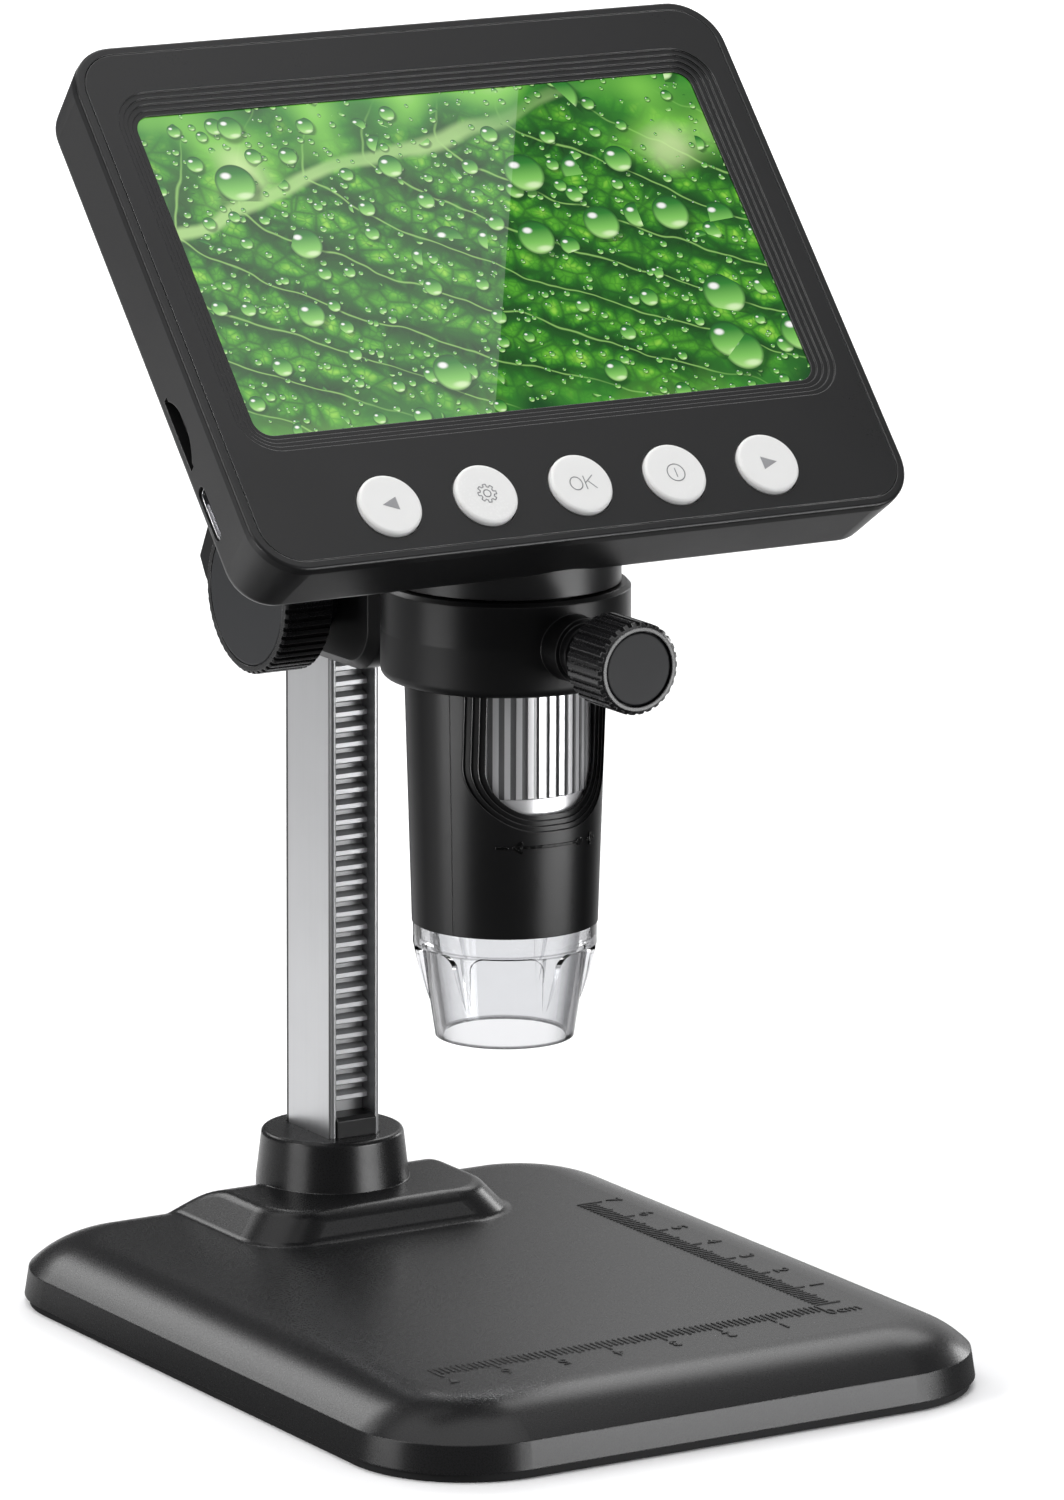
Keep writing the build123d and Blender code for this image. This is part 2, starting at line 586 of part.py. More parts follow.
# --- drive: pinion, shaft and focus knobs ---------------------------------------------
def involute_flank(steps=4):
    """Radius and half angle of points up one flank of a pinion tooth."""
    base_radius = PITCH_RADIUS * math.cos(math.radians(PRESSURE_ANGLE))
    tip_radius = PITCH_RADIUS + PINION_ADDENDUM
    pitch_involute = math.tan(math.radians(PRESSURE_ANGLE)) - math.radians(PRESSURE_ANGLE)
    half_tooth = math.pi / (2 * PINION_TEETH) - TOOTH_BACKLASH / (2 * PITCH_RADIUS) / 2
    flank = []
    for i in range(steps + 1):
        radius = base_radius + (tip_radius - base_radius) * i / steps
        angle = math.acos(base_radius / radius)
        flank.append((radius, half_tooth + pitch_involute - (math.tan(angle) - angle)))
    return flank


def pinion():
    """Spur pinion, with the gap between two teeth facing the rack."""
    root_radius = PITCH_RADIUS - PINION_DEDENDUM
    flank = involute_flank()
    outline = []
    for tooth in range(PINION_TEETH):
        middle = 2 * math.pi * (tooth + 0.5) / PINION_TEETH + math.pi / 2
        rising = [(root_radius, flank[0][1])] + flank
        for radius, half in rising:
            outline.append((radius * math.cos(middle - half), radius * math.sin(middle - half)))
        for radius, half in reversed(rising):
            outline.append((radius * math.cos(middle + half), radius * math.sin(middle + half)))
    gear = extrude(make_face(Polyline(*outline, close=True)), PINION_FACE / 2, both=True)
    gear -= rod(SHAFT_DIA + 2 * SEAT_GAP, -PINION_FACE, PINION_FACE)
    return Pos(0, DRIVE_Y, DRIVE_Z) * Rot(0, 90, 0) * gear


def shaft():
    reach = KNOB_INNER + KNOB_BORE_DEPTH
    axle = Cylinder(SHAFT_DIA / 2, 2 * reach, rotation=(0, 90, 0))
    return Pos(0, DRIVE_Y, DRIVE_Z) * chamfer(axle.edges().filter_by(GeomType.CIRCLE), 0.3)


def knob_side(side):
    """Frame of a focus knob: z points away from the carriage, with z = 0 at its inner face."""
    return Plane(origin=(side * KNOB_INNER, DRIVE_Y, DRIVE_Z), x_dir=(0, 0, 1), z_dir=(side, 0, 0))


def focus_knob(side):
    knob = knurled(KNOB_DIA, KNOB_LENGTH, KNOB_RIDGE_PITCH, KNOB_RIDGE_HEIGHT, 0.4)
    knob += rod(KNOB_HUB_DIA, -KNOB_HUB_LENGTH, 0)
    knob -= rod(SHAFT_DIA + 2 * SEAT_GAP, -KNOB_HUB_LENGTH - 1, KNOB_BORE_DEPTH + SEAT_GAP)
    knob -= rod(KNOB_CAP_DIA + 2 * SEAT_GAP, KNOB_LENGTH - KNOB_CAP_THICKNESS, KNOB_LENGTH + 1)
    return knob_side(side) * knob


def focus_knob_cap(side):
    """Smooth disc set in the face of a focus knob."""
    disc = rod(KNOB_CAP_DIA, KNOB_LENGTH - KNOB_CAP_THICKNESS, KNOB_LENGTH)
    rim = disc.edges().filter_by(GeomType.CIRCLE).sort_by(Axis.Z)[-1]
    return knob_side(side) * fillet(rim, 0.35)


def make_drive():
    save("pinion", pinion())
    save("focus_shaft", shaft())
    for name, side in (("left", -1), ("right", 1)):
        save(f"focus_knob_{name}", focus_knob(side))
        save(f"focus_knob_{name}_cap", focus_knob_cap(side))


# --- carriage and ring ----------------------------------------------------------------
def carriage_block():
    """Front part of the carriage, with its front corners rounded in side view."""
    length = CARRIAGE_BACK - CARRIAGE_FRONT
    side = Rectangle(length, CARRIAGE_HEIGHT)
    side = fillet(side.vertices().group_by(Axis.X)[0], CARRIAGE_CORNER)
    side = Plane.YZ * Pos(CARRIAGE_FRONT + length / 2, DRIVE_Z) * side
    form = extrude(side, CARRIAGE_WIDTH / 2, both=True)
    flanks = form.faces().filter_by(Axis.X)
    rim = [e for e in flanks.edges() if e.center().Y < CARRIAGE_BACK - 0.01]
    return chamfer(rim, CARRIAGE_BEVEL)


def head_ring():
    ring = rod(RING_DIA, RING_BOTTOM, RING_TOP)
    edges = ring.edges().filter_by(GeomType.CIRCLE).sort_by(Axis.Z)
    ring = fillet(edges[0], RING_ROUND)
    upper = ring.edges().filter_by(GeomType.CIRCLE).sort_by(Axis.Z)[-1]
    return TUBE * chamfer(upper, RING_CHAMFER)


def clamp_boss():
    boss = rod(CLAMP_BOSS_DIA, RING_DIA / 4, CLAMP_BOSS_REACH)
    boss += rod(CLAMP_STEP_DIA, RING_DIA / 4, CLAMP_STEP_REACH)
    outer = boss.edges().filter_by(GeomType.CIRCLE).group_by(Axis.Z)
    boss = fillet(outer[-1], 0.3)
    return FORWARD * boss


def carriage_screw_places():
    return [(sx * CARRIAGE_SCREW_X, DRIVE_Z + sz * CARRIAGE_SCREW_RISE) for sx in (-1, 1) for sz in (-1, 1)]


def backward(x, z, y):
    """Frame at a screw that enters from behind: z points back, with z = 0 at the given y."""
    return Plane(origin=(x, y, z), x_dir=(1, 0, 0), z_dir=(0, 1, 0))


def focus_arm():
    """Carriage, arm and ring in one moulding, open at the back for the column."""
    arm_reach = TUBE_Y + RING_DIA / 4
    arm = block(
        -ARM_WIDTH / 2, ARM_WIDTH / 2, arm_reach, CARRIAGE_FRONT + CARRIAGE_CORNER,
        RING_BOTTOM + RING_ROUND / 2, RING_TOP - RING_CHAMFER,
    )
    body = carriage_block() + arm + head_ring() + clamp_boss()
    body -= TUBE * rod(RING_BORE, RING_BOTTOM - 1, RING_TOP + 1)
    half = COLUMN_WIDTH / 2 + SLIDE_GAP
    low, high = CARRIAGE_BOTTOM - 1, CARRIAGE_TOP + 1
    body -= block(-half, half, COLUMN_FRONT - SLIDE_GAP, CARRIAGE_BACK + 1, low, high)
    pocket_radius = PITCH_RADIUS + PINION_ADDENDUM + 0.4
    pocket = Cylinder(pocket_radius, PINION_FACE + 0.6, rotation=(0, 90, 0))
    body -= Pos(0, DRIVE_Y, DRIVE_Z) * pocket
    bore = Cylinder(SHAFT_DIA / 2 + RUNNING_GAP, CARRIAGE_WIDTH + 2, rotation=(0, 90, 0))
    body -= Pos(0, DRIVE_Y, DRIVE_Z) * bore
    body -= FORWARD * rod(CLAMP_INSERT_DIA, BARREL_RING_DIA / 2 + 1.2, CLAMP_STEP_REACH + 1)
    body -= FORWARD * rod(CLAMP_SCREW_DIA + 4 * RUNNING_GAP, RING_DIA / 4, CLAMP_STEP_REACH)
    for x, z in carriage_screw_places():
        pilot = rod(CARRIAGE_SCREW_DIA, -(CARRIAGE_SCREW_LENGTH - REAR_COVER_DEPTH + 1), 1)
        body -= backward(x, z, CARRIAGE_BACK) * pilot
    return body


def carriage_rear_cover():
    """Closes the carriage behind the column and ends in a sloping nose."""
    seat = CARRIAGE_BACK + REAR_COVER_DEPTH
    tip = seat + REAR_NOSE
    side = Plane.YZ * make_face(Polyline(
        (CARRIAGE_BACK, CARRIAGE_BOTTOM),
        (seat + NOSE_UNDER_RUN, CARRIAGE_BOTTOM),
        (tip - NOSE_CHIN_SETBACK, DRIVE_Z - NOSE_CHIN_DROP),
        (tip, DRIVE_Z - NOSE_TIP_DROP),
        (tip - NOSE_BROW_SETBACK, DRIVE_Z + NOSE_BROW_RISE),
        (seat + NOSE_OVER_RUN, CARRIAGE_TOP),
        (CARRIAGE_BACK, CARRIAGE_TOP),
        close=True,
    ))
    cover = extrude(side, CARRIAGE_WIDTH / 2, both=True)
    rim = [e for e in cover.faces().filter_by(Axis.X).edges() if e.center().Y > CARRIAGE_BACK + 0.01]
    cover = chamfer(rim, NOSE_BEVEL)
    pad_half = GUIDE_PAD_WIDTH / 2 + SEAT_GAP
    pad_rise = GUIDE_PAD_HEIGHT / 2 + SEAT_GAP
    cover -= block(
        -pad_half, pad_half, CARRIAGE_BACK - 1, CARRIAGE_BACK + GUIDE_PAD_THICKNESS,
        DRIVE_Z - pad_rise, DRIVE_Z + pad_rise,
    )
    for x, z in carriage_screw_places():
        place = backward(x, z, seat)
        cover -= place * rod(CARRIAGE_SCREW_DIA + 2 * RUNNING_GAP, -REAR_COVER_DEPTH - 1, 1)
        cover -= place * rod(CARRIAGE_SCREW_HEAD + 2 * RUNNING_GAP, 0, REAR_NOSE + 1)
    return cover


def guide_pad():
    half = GUIDE_PAD_WIDTH / 2
    rise = GUIDE_PAD_HEIGHT / 2
    back = CARRIAGE_BACK + GUIDE_PAD_THICKNESS
    return block(-half, half, CARRIAGE_BACK, back, DRIVE_Z - rise, DRIVE_Z + rise)


def make_carriage():
    save("focus_arm", focus_arm())
    save("carriage_rear_cover", carriage_rear_cover())
    save("guide_pad", guide_pad())
    seat = CARRIAGE_BACK + REAR_COVER_DEPTH
    part_screw = screw(CARRIAGE_SCREW_LENGTH, CARRIAGE_SCREW_DIA, CARRIAGE_SCREW_HEAD)
    screws = [backward(x, z, seat) * part_screw for x, z in carriage_screw_places()]
    save("carriage_screws", *screws)
    insert = rod(CLAMP_INSERT_DIA, BARREL_RING_DIA / 2 + 1.2, CLAMP_STEP_REACH)
    insert -= rod(CLAMP_SCREW_DIA + 2 * RUNNING_GAP, BARREL_RING_DIA / 2, CLAMP_STEP_REACH + 1)
    save("clamp_insert", FORWARD * insert)


# --- clamp knob -----------------------------------------------------------------------
def make_clamp():
    tip = BARREL_RING_DIA / 2 + 2 * RUNNING_GAP
    screw_end = CLAMP_KNOB_BACK + 0.6 * CLAMP_KNOB_LENGTH
    spindle = rod(CLAMP_SCREW_DIA, tip, screw_end)
    tip_edge = spindle.edges().filter_by(GeomType.CIRCLE).sort_by(Axis.Z)[0]
    save("clamp_screw", FORWARD * chamfer(tip_edge, 0.4))
    knob = knurled(CLAMP_KNOB_DIA, CLAMP_KNOB_LENGTH, CLAMP_RIDGE_PITCH, CLAMP_RIDGE_HEIGHT, 0.7)
    knob = Pos(0, 0, CLAMP_KNOB_BACK) * knob
    knob += rod(CLAMP_HUB_DIA, CLAMP_STEP_REACH + SLIDE_GAP, CLAMP_KNOB_BACK)
    knob -= rod(CLAMP_SCREW_DIA + 2 * SEAT_GAP, CLAMP_STEP_REACH, screw_end + SEAT_GAP)
    front = CLAMP_KNOB_BACK + CLAMP_KNOB_LENGTH
    recess = CLAMP_CAP_THICKNESS + 0.3
    knob -= rod(CLAMP_CAP_DIA + 2 * PANEL_GAP, front - recess, front + 1)
    save("clamp_knob", FORWARD * knob)
    cap = rod(CLAMP_CAP_DIA, front - recess, front - 0.3)
    cap_edge = cap.edges().filter_by(GeomType.CIRCLE).sort_by(Axis.Z)[-1]
    save("clamp_knob_cap", FORWARD * fillet(cap_edge, 0.3))


# --- optics tube ----------------------------------------------------------------------
def barrel_section(top):
    """Half-section of the tube wall: cap seat, lamp ledge, lens bore and wheel chamber."""
    foot = BARREL_FOOT_DIA / 2
    shoulder = BARREL_SHOULDER_DIA / 2
    seat = CHAMBER_RADIUS
    bore = BARREL_BORE / 2
    ledge = LAMP_LEDGE_DIA / 2
    ledge_top = LAMP_BOARD_TOP + LAMP_LEDGE_HEIGHT
    section = [
        (seat, BARREL_BOTTOM), (foot, BARREL_BOTTOM), (shoulder, BARREL_SPLIT_TOP),
    ]
    if top > BARREL_SPLIT_TOP:
        ring = BARREL_RING_DIA / 2
        inner = BARREL_TOP_BORE / 2
        section += [(ring, BARREL_SPLIT_TOP), (ring, top), (inner, top), (inner, WHEEL_CEILING)]
        section += [(CHAMBER_RADIUS, WHEEL_CEILING)]
    else:
        section += [(CHAMBER_RADIUS, BARREL_SPLIT_TOP)]
    section += [
        (CHAMBER_RADIUS, WHEEL_FLOOR), (bore, WHEEL_FLOOR), (bore, ledge_top), (ledge, ledge_top),
        (ledge, LAMP_BOARD_TOP), (bore, LAMP_BOARD_TOP), (bore, LAMP_BOARD_BOTTOM), (seat, LAMP_BOARD_BOTTOM),
    ]
    return section


def cover_wedge(half_angle, top):
    """A sector that opens to the front, from the tube's axis outward."""
    reach = BARREL_RING_DIA
    edge = math.radians(half_angle)
    x, y = reach * math.sin(edge), -reach * math.cos(edge)
    sector = make_face(Polyline((0, 0), (-x, y), (-x, -reach), (x, -reach), (x, y), close=True))
    return Pos(0, 0, BARREL_BOTTOM - 1) * extrude(sector, top - BARREL_BOTTOM + 1)


def window_cut(step):
    """One step of the window: each is narrower and deeper, and the last goes right through."""
    half = WINDOW_HALF_WIDTH - step * WINDOW_STEP_SIDE
    bottom = WINDOW_BOTTOM + step * WINDOW_STEP_RISE
    corner = WINDOW_CORNER - step * WINDOW_STEP_SIDE
    top = BARREL_SPLIT_TOP + 1
    outline = Pos(0, (bottom + top) / 2) * Rectangle(2 * half, top - bottom)
    outline = fillet(outline.vertices().group_by(Axis.Y)[0], corner)
    prism = extrude(Plane.XZ * outline, BARREL_RING_DIA)
    if step == WINDOW_STEPS:
        return prism
    depth = (step + 1) * WINDOW_STEP_DEPTH
    core = turned([
        (0, BARREL_BOTTOM), (BARREL_FOOT_DIA / 2 - depth, BARREL_BOTTOM),
        (BARREL_SHOULDER_DIA / 2 - depth, BARREL_SPLIT_TOP), (BARREL_SHOULDER_DIA / 2 - depth, top + 1),
        (0, top + 1),
    ])
    return prism - core


def barrel_front_cover():
    cover = turned(barrel_section(BARREL_SPLIT_TOP)) & cover_wedge(COVER_HALF_ANGLE, BARREL_SPLIT_TOP)
    for step in range(WINDOW_STEPS + 1):
        cover -= window_cut(step)
    return TUBE * cover


def barrel_rear_shell():
    gap_angle = math.degrees(2 * SEAT_GAP / BARREL_FOOT_DIA)
    shell = turned(barrel_section(BARREL_TOP))
    shell -= cover_wedge(COVER_HALF_ANGLE + gap_angle, BARREL_SPLIT_TOP + SEAT_GAP)
    return TUBE * shell


def focus_wheel():
    """Ribbed focusing ring inside the tube, reached through the window."""
    low = WHEEL_FLOOR + FOCUS_WHEEL_END_GAP
    high = WHEEL_CEILING - FOCUS_WHEEL_END_GAP
    ribbed_height = high - low - FOCUS_WHEEL_BAND
    ribbed = knurled(FOCUS_WHEEL_DIA, ribbed_height, FOCUS_RIB_PITCH, FOCUS_RIB_HEIGHT, 0.3)
    wheel = Pos(0, 0, low + FOCUS_WHEEL_BAND) * ribbed
    wheel += rod(FOCUS_WHEEL_DIA - FOCUS_RIB_HEIGHT, low, low + FOCUS_WHEEL_BAND)
    wheel -= rod(FOCUS_WHEEL_BORE, low - 1, high + 1)
    return TUBE * wheel


def lens_cell():
    """Threaded carrier that the wheel screws up and down, with the seat of the lens."""
    seat = LENS_CELL_BOTTOM + LENS_BULGE + LENS_EDGE
    stop = LENS_STOP_DIA / 2
    bore = LENS_CELL_BORE / 2
    pocket = LENS_DIA / 2 + SEAT_GAP
    outer = LENS_CELL_DIA / 2
    return TUBE * turned([
        (pocket, LENS_CELL_BOTTOM), (outer, LENS_CELL_BOTTOM), (outer, LENS_CELL_TOP),
        (bore, LENS_CELL_TOP), (bore, seat + 2.0), (stop, seat + 2.0), (stop, seat), (pocket, seat),
    ])


def objective_lens():
    """Plano-convex glass, its curved face toward the specimen."""
    seat = LENS_CELL_BOTTOM + LENS_BULGE + LENS_EDGE
    radius = (LENS_DIA ** 2 / 4 + LENS_BULGE ** 2) / (2 * LENS_BULGE)
    lens = rod(LENS_DIA, LENS_CELL_BOTTOM, seat) & Pos(0, 0, LENS_CELL_BOTTOM + radius) * Sphere(radius)
    return TUBE * lens


def lamp_board():
    board = rod(BARREL_BORE - 2 * SEAT_GAP, LAMP_BOARD_BOTTOM, LAMP_BOARD_TOP)
    return TUBE * (board - rod(LAMP_BOARD_BORE, LAMP_BOARD_BOTTOM - 1, LAMP_BOARD_TOP + 1))


def lamps():
    lamp = rod(LAMP_DIA, LAMP_BOARD_BOTTOM - LAMP_HEIGHT, LAMP_BOARD_BOTTOM)
    lamp = fillet(lamp.edges().filter_by(GeomType.CIRCLE).sort_by(Axis.Z)[0], 0.9)
    angles = [360 * (i + 0.5) / LAMP_COUNT for i in range(LAMP_COUNT)]
    return [TUBE * Rot(0, 0, a) * Pos(LAMP_CIRCLE_DIA / 2, 0, 0) * lamp for a in angles]


def clear_cone_radius(height):
    """Outer radius of the clear cap's cone at a height."""
    top = BARREL_BOTTOM - CLEAR_BAND
    share = (height - CLEAR_BOTTOM) / (top - CLEAR_BOTTOM)
    return CLEAR_FOOT_DIA / 2 + share * (CLEAR_SHOULDER_DIA - CLEAR_FOOT_DIA) / 2


def clear_cap():
    """Transparent spacer: a plain band, a cone, and ribs between arched panels."""
    band_bottom = BARREL_BOTTOM - CLEAR_BAND
    band = CLEAR_TOP_DIA / 2
    spigot = CHAMBER_RADIUS - SEAT_GAP
    spigot_top = LAMP_BOARD_BOTTOM - SEAT_GAP
    inner_top = clear_cone_radius(band_bottom) - CLEAR_WALL
    body = turned([
        (clear_cone_radius(CLEAR_BOTTOM) - CLEAR_WALL, CLEAR_BOTTOM),
        (clear_cone_radius(CLEAR_BOTTOM), CLEAR_BOTTOM),
        (clear_cone_radius(band_bottom), band_bottom), (band, band_bottom), (band, BARREL_BOTTOM),
        (spigot, BARREL_BOTTOM), (spigot, spigot_top), (spigot - CAP_SPIGOT_WALL, spigot_top),
        (spigot - CAP_SPIGOT_WALL, BARREL_BOTTOM), (inner_top, band_bottom),
    ])
    skin = 0.1
    bulge_z = (band_bottom + CLEAR_RIB_FOOT) / 2
    foot_radius = clear_cone_radius(CLEAR_RIB_FOOT) - skin
    outer = ThreePointArc(
        (foot_radius + skin, 0, CLEAR_RIB_FOOT),
        ((band + foot_radius) / 2 + 0.3, 0, bulge_z),
        (band, 0, band_bottom),
    )
    top_edge = Line((band, 0, band_bottom), (clear_cone_radius(band_bottom) - skin, 0, band_bottom))
    inner = Line((clear_cone_radius(band_bottom) - skin, 0, band_bottom), (foot_radius, 0, CLEAR_RIB_FOOT))
    foot_edge = Line((foot_radius, 0, CLEAR_RIB_FOOT), (foot_radius + skin, 0, CLEAR_RIB_FOOT))
    ribs = revolve(make_face(outer + top_edge + inner + foot_edge), Axis.Z)
    panel_height = band_bottom - CLEAR_RIB_FOOT + 2 * CLEAR_PANEL_CORNER
    panel = RectangleRounded(CLEAR_PANEL_WIDTH, panel_height, CLEAR_PANEL_CORNER)
    panel = Pos(0, band_bottom - panel_height / 2 - 0.01) * panel
    cutter = extrude(Plane.XZ * panel, CLEAR_TOP_DIA)
    for i in range(CLEAR_PANELS):
        ribs -= Rot(0, 0, 360 * (i + 0.5) / CLEAR_PANELS) * cutter
    return TUBE * (body + ribs)


def make_tube():
    save("barrel_rear_shell", barrel_rear_shell())
    save("barrel_front_cover", barrel_front_cover())
    save("focus_wheel", focus_wheel())
    save("lens_cell", lens_cell())
    save("objective_lens", objective_lens())
    save("lamp_board", lamp_board())
    save("lamps", *lamps())
    save("clear_cap", clear_cap())
    board = rod(SENSOR_BOARD_DIA, BARREL_TOP, BARREL_TOP + SENSOR_BOARD_THICKNESS)
    save("sensor_board", TUBE * board)
    half = SENSOR_SIZE / 2
    chip = block(-half, half, -half, half, BARREL_TOP - SENSOR_THICKNESS, BARREL_TOP)
    save("image_sensor", TUBE * chip)


# --- screen unit ----------------------------------------------------------------------
def face_rectangle(width, height, corner, low, high, raise_y=0.0):
    """A rounded plate in the screen's own frame."""
    return Pos(0, raise_y, 0) * slab(width, height, corner, low, high)


def tub_form(inset, depth, rise):
    """Outline of the screen unit: upright behind the face, then sloping in to the given depth."""
    outline = RectangleRounded(SCREEN_WIDTH - 2 * inset, SCREEN_HEIGHT - 2 * inset, SCREEN_CORNER - inset)
    band = Pos(0, 0, -RIM_BAND) * extrude(outline, RIM_BAND + rise)
    slope = extrude(outline, depth - RIM_BAND, taper=SCREEN_DRAFT)
    return band + Pos(0, 0, -RIM_BAND) * Rot(180, 0, 0) * slope


def side_reach(depth):
    """Half-width of the screen unit at a depth behind its face."""
    return SCREEN_WIDTH / 2 - max(0, depth - RIM_BAND) * math.tan(math.radians(SCREEN_DRAFT))


def post_places():
    return [(sx * POST_X, sy * POST_Y) for sx in (-1, 1) for sy in (-1, 1)]


def board_screw_places():
    columns = (BOARD_SCREW_INSET - BOARD_LEFT, BOARD_RIGHT - BOARD_SCREW_INSET)
    upper = BOARD_UPPER - BOARD_SCREW_INSET
    return [(x, y) for x in columns for y in (upper, upper - BOARD_SCREW_SPAN)]


def key_places():
    count = len(KEY_NAMES)
    return [KEY_PITCH * (i - (count - 1) / 2) for i in range(count)]


def key_board_post_places():
    keys = key_places()
    return [(left + right) / 2 for left, right in zip(keys, keys[1:])]


def into_screen(solid):
    """Move an upright solid of the tube into the screen's own frame."""
    return SCREEN.to_local_coords(TUBE * solid)


def rear_housing():
    """Tub with posts for the screws, openings at the side, and the neck over the tube."""
    tub = tub_form(0, SCREEN_DEPTH, 0)
    tub = fillet(tub.faces().sort_by(Axis.Z)[0].edges(), SCREEN_REAR_ROUND)
    tub = fillet(tub.faces().sort_by(Axis.Z)[-1].edges(), RIM_ROUND)
    tub += into_screen(rod(NECK_DIA, NECK_BOTTOM, SCREEN_Z))
    tub -= tub_form(SCREEN_WALL, SCREEN_DEPTH - SCREEN_WALL, NECK_DIA)
    tub -= face_rectangle(
        SCREEN_WIDTH - 2 * RIM_WIDTH, SCREEN_HEIGHT - 2 * RIM_WIDTH, SCREEN_CORNER - RIM_WIDTH,
        -FRAME_THICKNESS, NECK_DIA,
    )
    tub -= into_screen(rod(BARREL_RING_DIA + 2 * SEAT_GAP, NECK_BOTTOM - 1, SENSOR_ROOM_TOP))
    tub -= into_screen(rod(CABLE_PASSAGE, SENSOR_ROOM_TOP - 1, SCREEN_Z))
    root = SCREEN_WALL / 2 - SCREEN_DEPTH
    for x, y in post_places():
        tub += Pos(x, y, 0) * rod(POST_DIA, root, -FRAME_THICKNESS)
        tub -= Pos(x, y, 0) * rod(SCREW_DIA + 2 * RUNNING_GAP, -SCREEN_DEPTH - 1, 0)
        head_room = SCREW_HEAD_DIA + 4 * RUNNING_GAP
        tub -= Pos(x, y, 0) * rod(head_room, -SCREEN_DEPTH - 1, POST_HEAD_ROOM - SCREEN_DEPTH)
    for x, y in board_screw_places():
        tub += Pos(x, y, 0) * rod(POST_DIA, root, BOARD_BACK)
        tub -= Pos(x, y, 0) * rod(BOARD_SCREW_DIA, INNER_BACK, BOARD_BACK + 1)
    return SCREEN * (tub - side_openings())


def side_openings():
    """Card slot with a curved scoop for a fingertip, and the opening of the charging port."""
    reach = side_reach(-CARD_Z)
    inner = SCREEN_WALL + 2
    length = CARD_LENGTH + 2 * PANEL_GAP
    half_slot = CARD_SLOT / 2 + SEAT_GAP
    cuts = block(
        -SCREEN_WIDTH / 2 - 1, inner - reach, CARD_Y - length / 2, CARD_Y + length / 2,
        CARD_Z - half_slot, CARD_Z + half_slot,
    )
    front = CARD_Z + CARD_SLOT / 2 + CARD_SCOOP_BULGE
    back = CARD_Z - half_slot
    scoop = Plane.YZ * make_face(
        ThreePointArc((CARD_Y - length / 2, back), (CARD_Y, front), (CARD_Y + length / 2, back))
        + Line((CARD_Y + length / 2, back), (CARD_Y - length / 2, back))
    )
    cuts += Pos(CARD_SCOOP_DEPTH - reach, 0, 0) * extrude(scoop, -SCREEN_DEPTH)
    port = Plane.YZ * Pos(PORT_Y, PORT_Z) * SlotOverall(
        PORT_LENGTH + 2 * PANEL_GAP, PORT_THICKNESS + 2 * PANEL_GAP
    )
    return cuts + Pos(inner - reach, 0, 0) * extrude(port, -SCREEN_DEPTH)


def front_frame():
    """Front plate with the stepped window edge, the key openings and the posts of the key board."""
    room = RIM_WIDTH + PANEL_GAP
    plate = face_rectangle(
        SCREEN_WIDTH - 2 * room, SCREEN_HEIGHT - 2 * room, SCREEN_CORNER - room, -FRAME_THICKNESS, 0
    )
    for step in range(BEZEL_STEPS + 1):
        spread = (BEZEL_STEPS - step) * BEZEL_TREAD
        depth = BEZEL_DEPTH * (step + 1) / (BEZEL_STEPS + 1)
        plate -= face_rectangle(
            WINDOW_WIDTH + 2 * spread, WINDOW_HEIGHT + 2 * spread, WINDOW_ROUND + spread,
            -depth, 1, WINDOW_RAISE,
        )
    margin = PANEL_MARGIN + SEAT_GAP
    plate -= face_rectangle(
        WINDOW_WIDTH + 2 * margin, WINDOW_HEIGHT + 2 * margin, 1.0,
        -FRAME_THICKNESS - 1, -BEZEL_DEPTH, WINDOW_RAISE,
    )
    for x in key_places():
        plate -= Pos(x, KEY_ROW, 0) * rod(KEY_DIA + 2 * KEY_GAP, -FRAME_THICKNESS - 1, 1)
        plate -= Pos(x, KEY_ROW, 0) * rod(KEY_FLANGE_DIA + 2 * KEY_GAP, -FRAME_THICKNESS - 1, -KEY_POCKET)
    for x in key_board_post_places():
        plate += Pos(x, KEY_ROW, 0) * rod(KEY_BOARD_POST_DIA, -KEY_BOARD_DEPTH, -KEY_POCKET)
    for x, y in post_places():
        plate -= Pos(x, y, 0) * rod(SCREW_DIA, -FRAME_THICKNESS - 1, POST_GRIP - FRAME_THICKNESS)
    return SCREEN * plate


def key():
    """Round key with a retaining flange, and a stem over its switch."""
    button = rod(KEY_DIA, -KEY_POCKET - KEY_FLANGE, KEY_PROUD)
    button = fillet(button.edges().filter_by(GeomType.CIRCLE).sort_by(Axis.Z)[-1], KEY_ROUND)
    flange_top = -KEY_POCKET - SEAT_GAP
    button += rod(KEY_FLANGE_DIA, flange_top - KEY_FLANGE, flange_top)
    stem_end = -KEY_BOARD_DEPTH + SWITCH_HEIGHT + KEY_TRAVEL + SEAT_GAP
    return button + rod(KEY_STEM_DIA, stem_end, -KEY_POCKET)


def charging_port():
    """Folded metal shell of the charging socket, open to the side, with its contact tongue."""
    outline = SlotOverall(PORT_LENGTH, PORT_THICKNESS)
    inside = SlotOverall(PORT_LENGTH - 2 * PORT_WALL, PORT_THICKNESS - 2 * PORT_WALL)
    side = Plane.YZ * Pos(PORT_Y, PORT_Z)
    shell = extrude(side * outline, PORT_BODY) - extrude(side * inside, PORT_BODY - PORT_WALL)
    shell += Pos(1, 0, 0) * extrude(side * Rectangle(0.6 * PORT_LENGTH, PORT_TONGUE), PORT_BODY - 1)
    return SCREEN * Pos(PORT_SETBACK - side_reach(-PORT_Z), 0, 0) * shell


